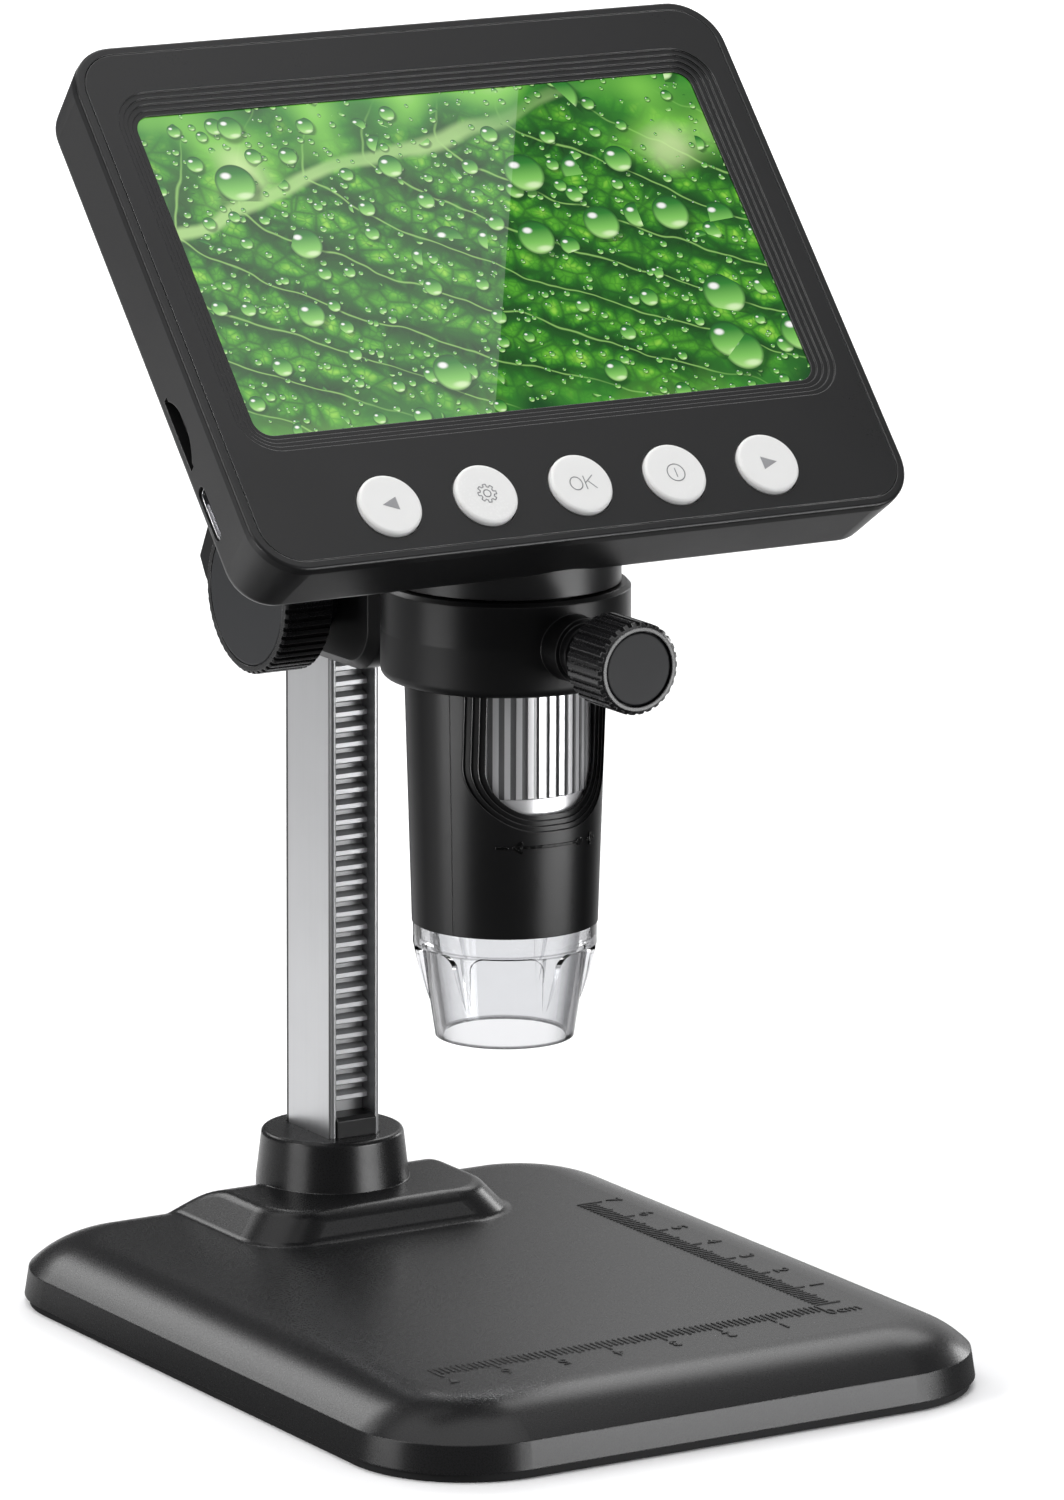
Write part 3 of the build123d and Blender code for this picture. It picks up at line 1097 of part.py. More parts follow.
def memory_card_socket():
    deepest = CARD_BODY_THICKNESS - BOARD_BACK
    left = SCREEN_WALL + PANEL_GAP - side_reach(deepest)
    half = CARD_BODY / 2
    body = block(left, left + CARD_BODY, CARD_Y - half, CARD_Y + half, -deepest, BOARD_BACK)
    slot = CARD_LENGTH / 2
    thick = CARD_SLOT / 2
    return SCREEN * (body - block(
        left - 1, left + CARD_BODY - 1.5, CARD_Y - slot, CARD_Y + slot, CARD_Z - thick, CARD_Z + thick
    ))


def main_board():
    board = block(-BOARD_LEFT, BOARD_RIGHT, BOARD_LOWER, BOARD_UPPER, BOARD_BACK, BOARD_FRONT)
    for x, y in board_screw_places():
        board -= Pos(x, y, 0) * rod(BOARD_SCREW_DIA + 2 * RUNNING_GAP, BOARD_BACK - 1, BOARD_FRONT + 1)
    return SCREEN * board


def board_chips():
    corner = SCREEN * Pos(-BOARD_LEFT, BOARD_UPPER, BOARD_FRONT + CHIP_HEIGHT / 2)
    return [
        corner * Pos(x, y, 0) * Box(width, height, CHIP_HEIGHT)
        for (width, height), (x, y) in zip(CHIP_SIZES, CHIP_PLACES)
    ]


def sensor_cable():
    """Flat cable from the sensor board up to the back of the main board."""
    half_w = CABLE_WIDTH / 2
    half_t = CABLE_THICKNESS / 2
    strip = TUBE * block(-half_w, half_w, -half_t, half_t, SENSOR_BOARD_TOP, SCREEN_Z)
    beyond = SCREEN * Pos(0, 0, BOARD_BACK + SCREEN_WIDTH / 2) * Box(SCREEN_WIDTH, SCREEN_WIDTH, SCREEN_WIDTH)
    return strip - beyond


def battery():
    cell = Box(BATTERY_WIDTH, BATTERY_HEIGHT, BATTERY_THICKNESS)
    cell = fillet(cell.edges().filter_by(Axis.Z), 1.5)
    return SCREEN * Pos(BATTERY_X, BATTERY_RISE, INNER_BACK + BATTERY_THICKNESS / 2) * cell


def make_screen():
    save("rear_housing", rear_housing())
    save("front_frame", front_frame())
    width = WINDOW_WIDTH + 2 * PANEL_MARGIN
    height = WINDOW_HEIGHT + 2 * PANEL_MARGIN
    glass = face_rectangle(width, height, 1.0, PANEL_FRONT, -BEZEL_DEPTH, WINDOW_RAISE)
    save("screen_glass", SCREEN * glass)
    panel = face_rectangle(width, height, 1.0, PANEL_FRONT - PANEL_THICKNESS, PANEL_FRONT, WINDOW_RAISE)
    save("lcd_panel", SCREEN * panel)
    save("main_board", main_board())
    save("board_chips", *board_chips())
    save("sensor_cable", sensor_cable())
    save("charging_port", charging_port())
    save("memory_card_socket", memory_card_socket())
    save("battery", battery())
    seat = POST_HEAD_ROOM - SCREEN_DEPTH
    rear_screw = Rot(180, 0, 0) * screw(POST_GRIP - FRAME_THICKNESS - SEAT_GAP - seat)
    save("housing_screws", *[SCREEN * Pos(x, y, seat) * rear_screw for x, y in post_places()])
    length = BOARD_FRONT - INNER_BACK - SEAT_GAP
    board_screw = screw(length, BOARD_SCREW_DIA, 1.6 * BOARD_SCREW_DIA)
    save("board_screws", *[SCREEN * Pos(x, y, BOARD_FRONT) * board_screw for x, y in board_screw_places()])


def make_keys():
    for name, x in zip(KEY_NAMES, key_places()):
        save(f"key_{name}", SCREEN * Pos(x, KEY_ROW, 0) * key())
    board = Box(KEY_BOARD_WIDTH, KEY_BOARD_HEIGHT, BOARD_THICKNESS)
    save("key_board", SCREEN * Pos(0, KEY_ROW, -KEY_BOARD_DEPTH - BOARD_THICKNESS / 2) * board)
    switch = Box(SWITCH_SIZE, SWITCH_SIZE, SWITCH_HEIGHT)
    level = SWITCH_HEIGHT / 2 - KEY_BOARD_DEPTH
    save("key_switches", *[SCREEN * Pos(x, KEY_ROW, level) * switch for x in key_places()])


make_base()
make_column()
make_drive()
make_carriage()
make_clamp()
make_tube()
make_screen()
make_keys()
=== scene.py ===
import json
import math

import bmesh
import bpy
from mathutils import Matrix, Vector


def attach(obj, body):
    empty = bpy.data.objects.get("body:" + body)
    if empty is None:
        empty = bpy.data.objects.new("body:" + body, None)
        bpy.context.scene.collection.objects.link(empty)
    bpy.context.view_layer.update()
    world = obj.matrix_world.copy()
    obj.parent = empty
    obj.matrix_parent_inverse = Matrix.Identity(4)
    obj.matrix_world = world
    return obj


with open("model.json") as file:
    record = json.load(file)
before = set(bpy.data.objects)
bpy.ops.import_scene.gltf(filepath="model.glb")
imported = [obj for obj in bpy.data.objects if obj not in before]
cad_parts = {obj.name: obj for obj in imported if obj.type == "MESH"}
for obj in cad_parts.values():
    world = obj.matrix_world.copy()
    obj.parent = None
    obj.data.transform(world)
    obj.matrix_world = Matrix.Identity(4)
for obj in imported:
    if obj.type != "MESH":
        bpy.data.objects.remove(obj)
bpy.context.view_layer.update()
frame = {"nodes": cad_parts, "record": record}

MM = 0.001

# --- sizes of the part, in mm, that the finishes and marks refer to -------------------
# The screen's own frame, as in the CAD: x across, y up the face, z out of the face.
LEAN = math.radians(41.3)
FACE_Y = 0.24              # middle of the screen's face
FACE_Z = 169.3
SCREEN = Matrix((
    (1.0, 0.0, 0.0, 0.0),
    (0.0, math.sin(LEAN), -math.cos(LEAN), FACE_Y * MM),
    (0.0, math.cos(LEAN), math.sin(LEAN), FACE_Z * MM),
    (0.0, 0.0, 0.0, 1.0),
))
KEY_PITCH = 16.9
KEY_ROW = -38.0
KEY_PROUD = 0.9
WINDOW_RAISE = 6.05
BEZEL_DEPTH = 1.7
PICTURE_WIDTH = 100.1
PICTURE_HEIGHT = 57.9

BASE_TOP = 10.8
COLUMN_FRONT = 42.5
COLUMN_CORNER = 4.3        # x beyond which the front edges of the column get painted dark lines
COLUMN_BACK_PAINTED_LINE = 13.4    # from the column's front to the painted dark line at its back
SLOT_EDGE = 3.6            # the slot's lips get their darkest painted shade inside this x
SLOT_LIP = 3.9             # and lighter painted shade from this one outwards
TOOTH_SHADE_FROM = 45.2    # y from which the rack's teeth darken
TOOTH_SHADE_TO = 46.2      # y of their darkest part, near the roots

TUBE_Y = -3.3
TUBE_BOTTOM = 68.8
TUBE_BOTTOM_RADIUS = 14.5
TUBE_TOP = 107.6
TUBE_TOP_RADIUS = 15.7
RING_PARTING = 115.25      # height of the mould's parting line round the ring
RING_BACK = 16.0           # y behind which the arm has no parting line
GROOVE_DARK = 12.72        # radius at which the painted shade in the focus wheel's grooves is darkest
GROOVE_CLEAR = 13.06       # radius from which its ribs are bright, free of painted shade
WHEEL_RIB_BOTTOM = 90.45
CAP_BOTTOM = 50.5
CAP_SHOULDER = 65.4

RULER_CORNER = (32.9, -41.5)
RULER_FRONT = -46.5
RULER_RIGHT = 37.8


# --- node helpers ---------------------------------------------------------------------
class Nodes:
    """Adds nodes to one tree and links them."""

    def __init__(self, tree):
        self.tree = tree

    def node(self, kind, **settings):
        made = self.tree.nodes.new(kind)
        for key, value in settings.items():
            setattr(made, key, value)
        return made

    def feed(self, socket, value):
        """Links a socket, or sets the input to a plain value. None leaves it alone."""
        if isinstance(value, bpy.types.NodeSocket):
            self.tree.links.new(value, socket)
        elif value is not None:
            socket.default_value = value

    def feed_all(self, made, values):
        for socket, value in zip(made.inputs, values):
            self.feed(socket, value)
        return made.outputs

    def feed_named(self, made, **values):
        """Feeds inputs by their names, with underscores for spaces."""
        for key, value in values.items():
            self.feed(made.inputs[key.replace("_", " ")], value)

    def coords(self, kind="Object"):
        return self.node("ShaderNodeTexCoord").outputs[kind]

    def mapped(self, vector, scale=(1, 1, 1), location=(0, 0, 0), rotation=(0, 0, 0)):
        made = self.node("ShaderNodeMapping")
        self.feed_named(made, Vector=vector, Scale=scale, Location=location, Rotation=rotation)
        return made.outputs["Vector"]

    def math(self, operation, a, b=None, c=None):
        return self.feed_all(self.node("ShaderNodeMath", operation=operation), (a, b, c))[0]

    def around_zero(self, value, gain):
        """Turns 0..1 into a swing of the given size about zero."""
        return self.math("MULTIPLY", self.math("SUBTRACT", value, 0.5), gain)

    def vector(self, operation, a, b=None):
        outputs = self.feed_all(self.node("ShaderNodeVectorMath", operation=operation), (a, b))
        return outputs["Value" if operation in ("LENGTH", "DISTANCE", "DOT_PRODUCT") else "Vector"]

    def split(self, vector):
        return self.feed_all(self.node("ShaderNodeSeparateXYZ"), (vector,))

    def join(self, x, y, z=0.0):
        return self.feed_all(self.node("ShaderNodeCombineXYZ"), (x, y, z))[0]

    def length(self, x, y):
        return self.vector("LENGTH", self.join(x, y))

    def noise(self, vector, scale, detail=3.0, roughness=0.5):
        made = self.node("ShaderNodeTexNoise")
        self.feed_named(made, Vector=vector, Scale=scale, Detail=detail, Roughness=roughness)
        return made.outputs["Fac"]

    def voronoi(self, vector, scale, feature="F1"):
        made = self.node("ShaderNodeTexVoronoi", feature=feature)
        self.feed_named(made, Vector=vector, Scale=scale)
        return made.outputs

    def remap(self, value, low, high, to_low=0.0, to_high=1.0):
        """Straight ramp between two values."""
        return self.map_range("LINEAR", value, low, high, to_low, to_high)

    def ease(self, value, low, high, to_low=0.0, to_high=1.0):
        """Ramp with soft ends between two values."""
        return self.map_range("SMOOTHSTEP", value, low, high, to_low, to_high)

    def map_range(self, kind, value, low, high, to_low, to_high):
        made = self.node("ShaderNodeMapRange", interpolation_type=kind)
        self.feed_named(made, Value=value, From_Min=low, From_Max=high, To_Min=to_low, To_Max=to_high)
        return made.outputs["Result"]

    def facing(self):
        """0 where the surface faces the viewer, 1 where it turns away."""
        made = self.node("ShaderNodeLayerWeight")
        self.feed_named(made, Blend=0.5)
        return made.outputs["Facing"]

    def mix(self, factor, a, b, blend="MIX"):
        made = self.node("ShaderNodeMix", data_type="RGBA", blend_type=blend, clamp_factor=True)
        self.feed_named(made, Factor=factor)
        sockets = [s for s in made.inputs if s.type == "RGBA"]
        for socket, value in zip(sockets, (a, b)):
            self.feed(socket, value if isinstance(value, bpy.types.NodeSocket) else (*value, 1.0))
        return next(s for s in made.outputs if s.type == "RGBA")

    def ramp(self, value, stops):
        made = self.node("ShaderNodeValToRGB")
        self.feed_named(made, Fac=value)
        elements = made.color_ramp.elements
        while len(elements) < len(stops):
            elements.new(0.5)
        for element, (position, color) in zip(elements, stops):
            element.position = position
            element.color = (*color, 1.0)
        return made.outputs["Color"]


class Shader(Nodes):
    """One material, built on its Principled BSDF."""

    def __init__(self, name):
        self.material = bpy.data.materials.new(name)
        self.material.use_nodes = True
        super().__init__(self.material.node_tree)
        self.surface = self.tree.nodes["Principled BSDF"]

    def set(self, **values):
        self.feed_named(self.surface, **values)

    def now(self, name):
        """What feeds an input at present, to be mixed further."""
        return self.surface.inputs[name].links[0].from_socket

    def tint(self, factor, color):
        """Mixes one more colour over the base colour."""
        self.set(Base_Color=self.mix(factor, self.now("Base Color"), color))

    def damp_sheen(self, factor):
        self.set(Specular_IOR_Level=self.math("MULTIPLY", self.now("Specular IOR Level"), factor))

    def rounded(self, radius):
        """Normals rounded at the edges over a radius in mm, and a mask of those edges."""
        made = self.node("ShaderNodeBevel", samples=6)
        self.feed_named(made, Radius=radius * MM)
        normal = made.outputs["Normal"]
        flat = self.node("ShaderNodeNewGeometry").outputs["Normal"]
        return normal, self.ease(self.vector("DOT_PRODUCT", normal, flat), 0.985, 0.80)

    def bump(self, height, strength, depth, normal=None):
        """Relief of a depth in mm, on top of rounded normals where there are any."""
        made = self.node("ShaderNodeBump")
        self.feed_named(made, Strength=strength, Distance=depth * MM, Height=height, Normal=normal)
        self.set(Normal=made.outputs["Normal"])


def scaled(color, factor, extra=0.0, top=1.0):
    return tuple(min(top, factor * part + extra) for part in color)


# --- kinds of finish ------------------------------------------------------------------
def moulded(name, color, roughness, grain=5200.0, depth=0.02, strength=0.35, lift=0.25,
            gloss=0.30, edge=0.25, cloud=0.045, shine=0.9, painted_highlight_tone=0.03):
    """Moulded plastic: fine spark-eroded texture, faint clouds, and rounded, glossier edges with a painted
    highlight in a paler colour.
    """
    s = Shader(name)
    at = s.coords()
    clouds = s.noise(at, 38.0, 4.0, 0.55)
    fine = s.noise(at, grain, 2.0, 0.6)
    shade = s.remap(clouds, 0.3, 0.7, 1.0 - lift, 1.0 + lift)
    normal, rim = s.rounded(edge)
    s.set(Base_Color=s.mix(shade, scaled(color, 0.82), scaled(color, 1.12)))
    # painted highlight: the edges are tinted a paler colour
    s.tint(s.math("MULTIPLY", rim, 0.7), scaled(color, 1.5, painted_highlight_tone, 0.9))
    base = s.remap(clouds, 0.25, 0.75, roughness - cloud, roughness + cloud)
    s.set(Roughness=s.math("ADD", base, s.around_zero(fine, 0.12)))
    s.set(Specular_IOR_Level=s.remap(rim, 0.0, 1.0, gloss, shine))
    s.bump(fine, strength, depth, normal)
    return s


def metal(name, color, roughness, stretch=(1, 1, 1), grain=900.0, strength=0.15, spread=0.08,
          edge=0.15, metallic=1.0):
    """Metal with drawn or machined lines along the axis that is stretched least."""
    s = Shader(name)
    lines = s.noise(s.mapped(s.coords(), scale=stretch), grain, 4.0, 0.65)
    clouds = s.noise(s.coords(), 60.0, 3.0, 0.5)
    s.set(
        Base_Color=s.mix(clouds, scaled(color, 0.93), scaled(color, 1.05)),
        Metallic=metallic,
        Roughness=s.remap(lines, 0.3, 0.7, roughness - spread / 2, roughness + spread),
    )
    s.bump(lines, strength, 0.01, s.rounded(edge)[0] if edge > 0.0 else None)
    return s


def clear(name, color, roughness, ior, edges=0.0):
    """Transparent moulding with faint flow marks, and painted shade where it turns away."""
    s = Shader(name)
    marks = s.noise(s.mapped(s.coords(), scale=(1, 1, 0.3)), 180.0, 3.0, 0.5)
    s.set(
        Base_Color=s.mix(marks, scaled(color, 0.985), color),
        Roughness=s.remap(marks, 0.2, 0.8, roughness, roughness + 0.02),
        Transmission_Weight=1.0,
        IOR=ior,
    )
    # painted shade: darker where the surface turns away, by the amount edges
    s.tint(s.ease(s.facing(), 0.22, 0.72, 0.0, edges), (0.035, 0.035, 0.04))
    s.bump(marks, 0.05, 0.04)
    return s


PLASTICS = {
    "base_black": dict(
        color=(0.008, 0.008, 0.0085), roughness=0.28, grain=4200.0, depth=0.01, lift=0.1, gloss=0.28,
        cloud=0.006,
    ),
    "screen_black": dict(
        color=(0.011, 0.011, 0.0115), roughness=0.32, grain=4800.0, depth=0.01, edge=0.2, painted_highlight_tone=0.085,
    ),
    "knob_black": dict(color=(0.006, 0.006, 0.0066), roughness=0.26, gloss=0.40),
    "pad_rubber": dict(color=(0.010, 0.010, 0.011), roughness=0.75, grain=2600.0, depth=0.05, strength=0.5),
    "cell_black": dict(color=(0.010, 0.010, 0.011), roughness=0.55),
    "switch_grey": dict(color=(0.16, 0.16, 0.17), roughness=0.5),
    "chip_black": dict(color=(0.02, 0.02, 0.022), roughness=0.55),
    "guide_white": dict(color=(0.72, 0.72, 0.70), roughness=0.4),
    "cable_amber": dict(color=(0.45, 0.20, 0.035), roughness=0.3),
    "battery_wrap": dict(color=(0.52, 0.53, 0.55), roughness=0.3),
    "panel_white": dict(color=(0.66, 0.67, 0.67), roughness=0.35),
    "sensor_dark": dict(color=(0.03, 0.035, 0.06), roughness=0.08),
    "display_glass": dict(
        color=(0.004, 0.005, 0.005), roughness=0.06, grain=900.0, depth=0.01, strength=0.02,
    ),
}
METALS = {
    "weight_steel": dict(color=(0.42, 0.42, 0.43), roughness=0.42, grain=300.0, strength=0.3),
    "screw_steel": dict(color=(0.55, 0.55, 0.57), roughness=0.28, stretch=(1, 1, 0.2), grain=800.0),
    "gear_steel": dict(color=(0.60, 0.60, 0.61), roughness=0.24, stretch=(0.1, 1, 1)),
    "socket_metal": dict(color=(0.80, 0.80, 0.82), roughness=0.16, grain=500.0, strength=0.05),
    "insert_brass": dict(color=(0.78, 0.58, 0.27), roughness=0.25, stretch=(1, 0.1, 1)),
}


# --- finishes that follow the form of a piece -----------------------------------------
def arm_finish(name):
    """Satin black, with the faint parting line of the mould round the ring."""
    s = moulded(name, (0.006, 0.006, 0.0064), 0.34, gloss=0.18)
    place = s.split(s.coords())
    below = s.ease(place[2], (RING_PARTING - 0.1) * MM, (RING_PARTING + 0.1) * MM, 1.0, 0.0)
    lower = s.math("MULTIPLY", below, s.math("LESS_THAN", place[1], RING_BACK * MM))
    s.set(Roughness=s.remap(lower, 0.0, 1.0, 0.32, 0.42))
    return s


def tube_finish(name):
    """Satin black whose sheen fades on the parts that turn away."""
    s = moulded(name, (0.005, 0.005, 0.0054), 0.32)
    s.damp_sheen(s.ease(s.facing(), 0.22, 0.50, 1.0, 0.20))
    return s


def face_finish(name):
    """Satin discs: the clamp knob's, at the front, has painted shade, a darker colour and less sheen than
    those of the focus knobs.
    """
    s = moulded(name, (0.018, 0.019, 0.021), 0.30, gloss=0.26, edge=0.35)
    front = s.math("LESS_THAN", s.split(s.coords())[1], 0.0)
    # painted shade: the disc at the front is darkened and its sheen damped
    s.tint(s.math("MULTIPLY", front, 0.5), (0.004, 0.004, 0.0044))
    s.damp_sheen(s.remap(front, 0.0, 1.0, 1.0, 0.3))
    return s


def column_finish(name):
    """Drawn aluminium with painted shade: dark lines along its edges and the lips of the channel, in place
    of the dark reflections there.
    """
    s = metal(name, (0.60, 0.605, 0.615), 0.32, (1, 1, 0.015), 1500.0, 0.2)
    place = s.split(s.coords())
    across = s.math("ABSOLUTE", place[0])
    from_front = s.math("SUBTRACT", place[1], COLUMN_FRONT * MM)
    corner = s.math(
        "MULTIPLY",
        s.ease(from_front, 0.55 * MM, 0.75 * MM, 1.0, 0.0),
        s.ease(from_front, 0.15 * MM, 0.35 * MM, 0.0, 1.0),
    )
    outer = s.math("MULTIPLY", corner, s.math("GREATER_THAN", across, COLUMN_CORNER * MM))
    front = s.math("LESS_THAN", from_front, 0.1 * MM)
    painted_dark_lip = s.math("MULTIPLY", front, s.remap(across, SLOT_LIP * MM, SLOT_EDGE * MM, 0.55, 1.0))
    back = s.math("GREATER_THAN", from_front, COLUMN_BACK_PAINTED_LINE * MM)
    line = s.math("MAXIMUM", s.math("MAXIMUM", outer, painted_dark_lip), back)
    # painted shade: lines at the column's edges, its back and the slot's lips are darkened
    s.tint(s.math("MULTIPLY", line, 0.93), (0.03, 0.03, 0.031))
    return s


def rack_finish(name):
    """Bright teeth over roots with painted shade."""
    s = metal(name, (0.54, 0.545, 0.555), 0.36, (0.05, 1, 1), 900.0, 0.02, 0.02, edge=0.0, metallic=0.2)
    depth = s.split(s.coords())[1]
    # painted shade: the teeth darken towards their roots
    s.tint(s.ease(depth, TOOTH_SHADE_FROM * MM, TOOTH_SHADE_TO * MM, 0.0, 0.9), (0.24, 0.24, 0.245))
    return s


def wheel_finish(name):
    """Plated ribs over grooves with painted shade, and a smooth band below them."""
    s = metal(name, (0.80, 0.80, 0.81), 0.30, (1, 1, 0.05), 1200.0, 0.01, 0.02, edge=0.0, metallic=0.6)
    place = s.split(s.coords())
    reach = s.length(place[0], s.math("SUBTRACT", place[1], TUBE_Y * MM))
    # painted shade: the grooves darken by radius, on the ribbed part only
    painted_groove_shade = s.ease(reach, GROOVE_DARK * MM, GROOVE_CLEAR * MM, 0.80, 0.0)
    ribbed = s.math("GREATER_THAN", place[2], WHEEL_RIB_BOTTOM * MM)
    s.tint(s.math("MULTIPLY", painted_groove_shade, ribbed), (0.12, 0.12, 0.122))
    return s


def cap_finish(name):
    """Clear cap with painted shade: dark lines at its foot and its shoulder."""
    s = clear(name, (0.84, 0.845, 0.855), 0.01, 1.45, 0.95)
    height = s.split(s.coords())[2]
    # painted shade: dark lines at the foot and round the shoulder
    foot = s.ease(height, (CAP_BOTTOM + 0.25) * MM, (CAP_BOTTOM + 0.5) * MM, 0.8, 0.0)
    above = s.ease(height, (CAP_SHOULDER - 0.25) * MM, (CAP_SHOULDER - 0.05) * MM, 0.0, 0.6)
    below = s.ease(height, (CAP_SHOULDER + 0.05) * MM, (CAP_SHOULDER + 0.25) * MM, 1.0, 0.0)
    s.tint(s.math("MAXIMUM", foot, s.math("MULTIPLY", above, below)), (0.03, 0.03, 0.035))
    return s


def lens_finish(name):
    return clear(name, (0.95, 0.98, 0.99), 0.0, 1.52)


def lamp_finish(name):
    return clear(name, (0.98, 0.97, 0.90), 0.05, 1.5)


def board_finish(name):
    """Green solder mask with copper tracks under it."""
    s = Shader(name)
    tracks = s.voronoi(s.coords(), 420.0, "DISTANCE_TO_EDGE")["Distance"]
    lines = s.remap(tracks, 0.02, 0.06, 1.0, 0.0)
    s.set(Base_Color=s.mix(lines, (0.010, 0.085, 0.030), (0.030, 0.20, 0.065)), Roughness=0.32)
    s.bump(lines, 0.2, 0.03)
    return s


def key_finish(name):
    """White keys: smooth, slightly translucent plastic."""
    s = moulded(name, (0.78, 0.78, 0.77), 0.24, 2400.0, 0.01, 0.08, 0.05)
    s.set(Subsurface_Weight=0.15, Subsurface_Scale=1.0 * MM, Subsurface_Radius=(1.0, 1.0, 1.0))
    return s


def dress_nodes():
    """Gives each CAD node the finish of its material slot."""
    finishes = {slot: moulded(slot, **look) for slot, look in PLASTICS.items()}
    finishes.update({slot: metal(slot, **look) for slot, look in METALS.items()})
    for slot, finish in (
        ("arm_black", arm_finish), ("tube_black", tube_finish), ("knob_face", face_finish),
        ("column_aluminium", column_finish), ("rack_steel", rack_finish), ("wheel_silver", wheel_finish),
        ("clear_plastic", cap_finish), ("lens_glass", lens_finish), ("lamp_white", lamp_finish),
        ("board_green", board_finish), ("key_white", key_finish),
    ):
        finishes[slot] = finish(slot)
    slot_of = {entry["node"]: entry["material_slot"] for entry in frame["record"]["subparts"]}
    for name, node in frame["nodes"].items():
        node.data.materials.clear()
        node.data.materials.append(finishes[slot_of[name]].material)


dress_nodes()


# --- meshes ---------------------------------------------------------------------------
def mesh_object(name, bm, material, body):
    mesh = bpy.data.meshes.new(name)
    bm.normal_update()
    bm.to_mesh(mesh)
    bm.free()
    mesh.materials.append(material)
    made = bpy.data.objects.new(name, mesh)
    bpy.context.scene.collection.objects.link(made)
    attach(made, body)


def add_prism(bm, outline, low, high, place):
    """A prism over a flat outline of (x, y) in mm, between two heights, put through place."""
    lower = [bm.verts.new(place(Vector((x, y, low)))) for x, y in outline]
    upper = [bm.verts.new(place(Vector((x, y, high)))) for x, y in outline]
    count = len(outline)
    for i in range(count):
        j = (i + 1) % count
        bm.faces.new((lower[i], lower[j], upper[j], upper[i]))
    bm.faces.new(upper)
    bm.faces.new(list(reversed(lower)))


def box_outline(x0, y0, x1, y1):
    return [(x0, y0), (x1, y0), (x1, y1), (x0, y1)]


def stroke(points, width):
    """Outlines of straight bars along a line of points, each a quarter width too long at both ends."""
    bars = []
    for (x0, y0), (x1, y1) in zip(points, points[1:]):
        length = math.hypot(x1 - x0, y1 - y0)
        ux, uy = (x1 - x0) / length, (y1 - y0) / length
        px, py = -uy * width / 2, ux * width / 2
        x0, y0 = x0 - ux * width / 4, y0 - uy * width / 4
        x1, y1 = x1 + ux * width / 4, y1 + uy * width / 4
        bars.append([(x0 - px, y0 - py), (x1 - px, y1 - py), (x1 + px, y1 + py), (x0 + px, y0 + py)])
    return bars


def ring_points(radius_x, radius_y, count):
    """A closed oval: its last point is its first one again."""
    angles = [math.tau * i / count for i in range(count + 1)]
    return [(radius_x * math.cos(a), radius_y * math.sin(a)) for a in angles]


# --- icons on the keys ----------------------------------------------------------------
ICON_LINE = 0.17
ICON_HEIGHT = 0.02


def gear_outline(teeth=8, tip=1.60, root=1.18, tip_half=9.0, root_half=15.0):
    """Closed outline of a gear, its half widths in degrees."""
    points = []
    for i in range(teeth):
        middle = 360.0 * i / teeth + 90.0
        for offset, radius in ((-root_half, root), (-tip_half, tip), (tip_half, tip), (root_half, root)):
            a = math.radians(middle + offset)
            points.append((radius * math.cos(a), radius * math.sin(a)))
    points.append(points[0])
    return points


def triangle(direction, reach=1.45, back=1.15):
    """Filled arrowhead that points to the left (-1) or to the right (1)."""
    back *= direction
    return [(-back, -back), (reach * direction, 0.0), (-back, back)]


def key_icons():
    """One sign on each key: filled outlines and lines, about the middle of the key."""
    ink = moulded("icon_grey", (0.30, 0.30, 0.31), 0.4, 2400.0, 0.01, 0.1)
    letter_o = [(x - 1.05, y) for x, y in ring_points(1.05, 1.15, 28)]
    letter_k = [[(0.55, -1.15), (0.55, 1.15)], [(2.15, 1.15), (0.55, -0.10)], [(1.05, 0.30), (2.25, -1.15)]]
    icons = {
        "left": ([triangle(-1)], []),
        "settings": ([], [gear_outline(), ring_points(0.62, 0.62, 20)]),
        "ok": ([], [letter_o, *letter_k]),
        "power": ([], [ring_points(1.5, 1.5, 32), [(0.0, -0.75), (0.0, 0.75)]]),
        "right": ([triangle(1)], []),
    }
    for i, (name, (filled, lines)) in enumerate(icons.items()):
        middle = KEY_PITCH * (i - 2)

        def on_key(v):
            return SCREEN @ (Vector((v.x + middle, v.y + KEY_ROW, v.z + KEY_PROUD)) * MM)

        bm = bmesh.new()
        for outline in filled + [bar for line in lines for bar in stroke(line, ICON_LINE)]:
            add_prism(bm, outline, 0.0, ICON_HEIGHT, on_key)
        mesh_object(f"icon_{name}", bm, ink.material, f"key_{name}")


key_icons()


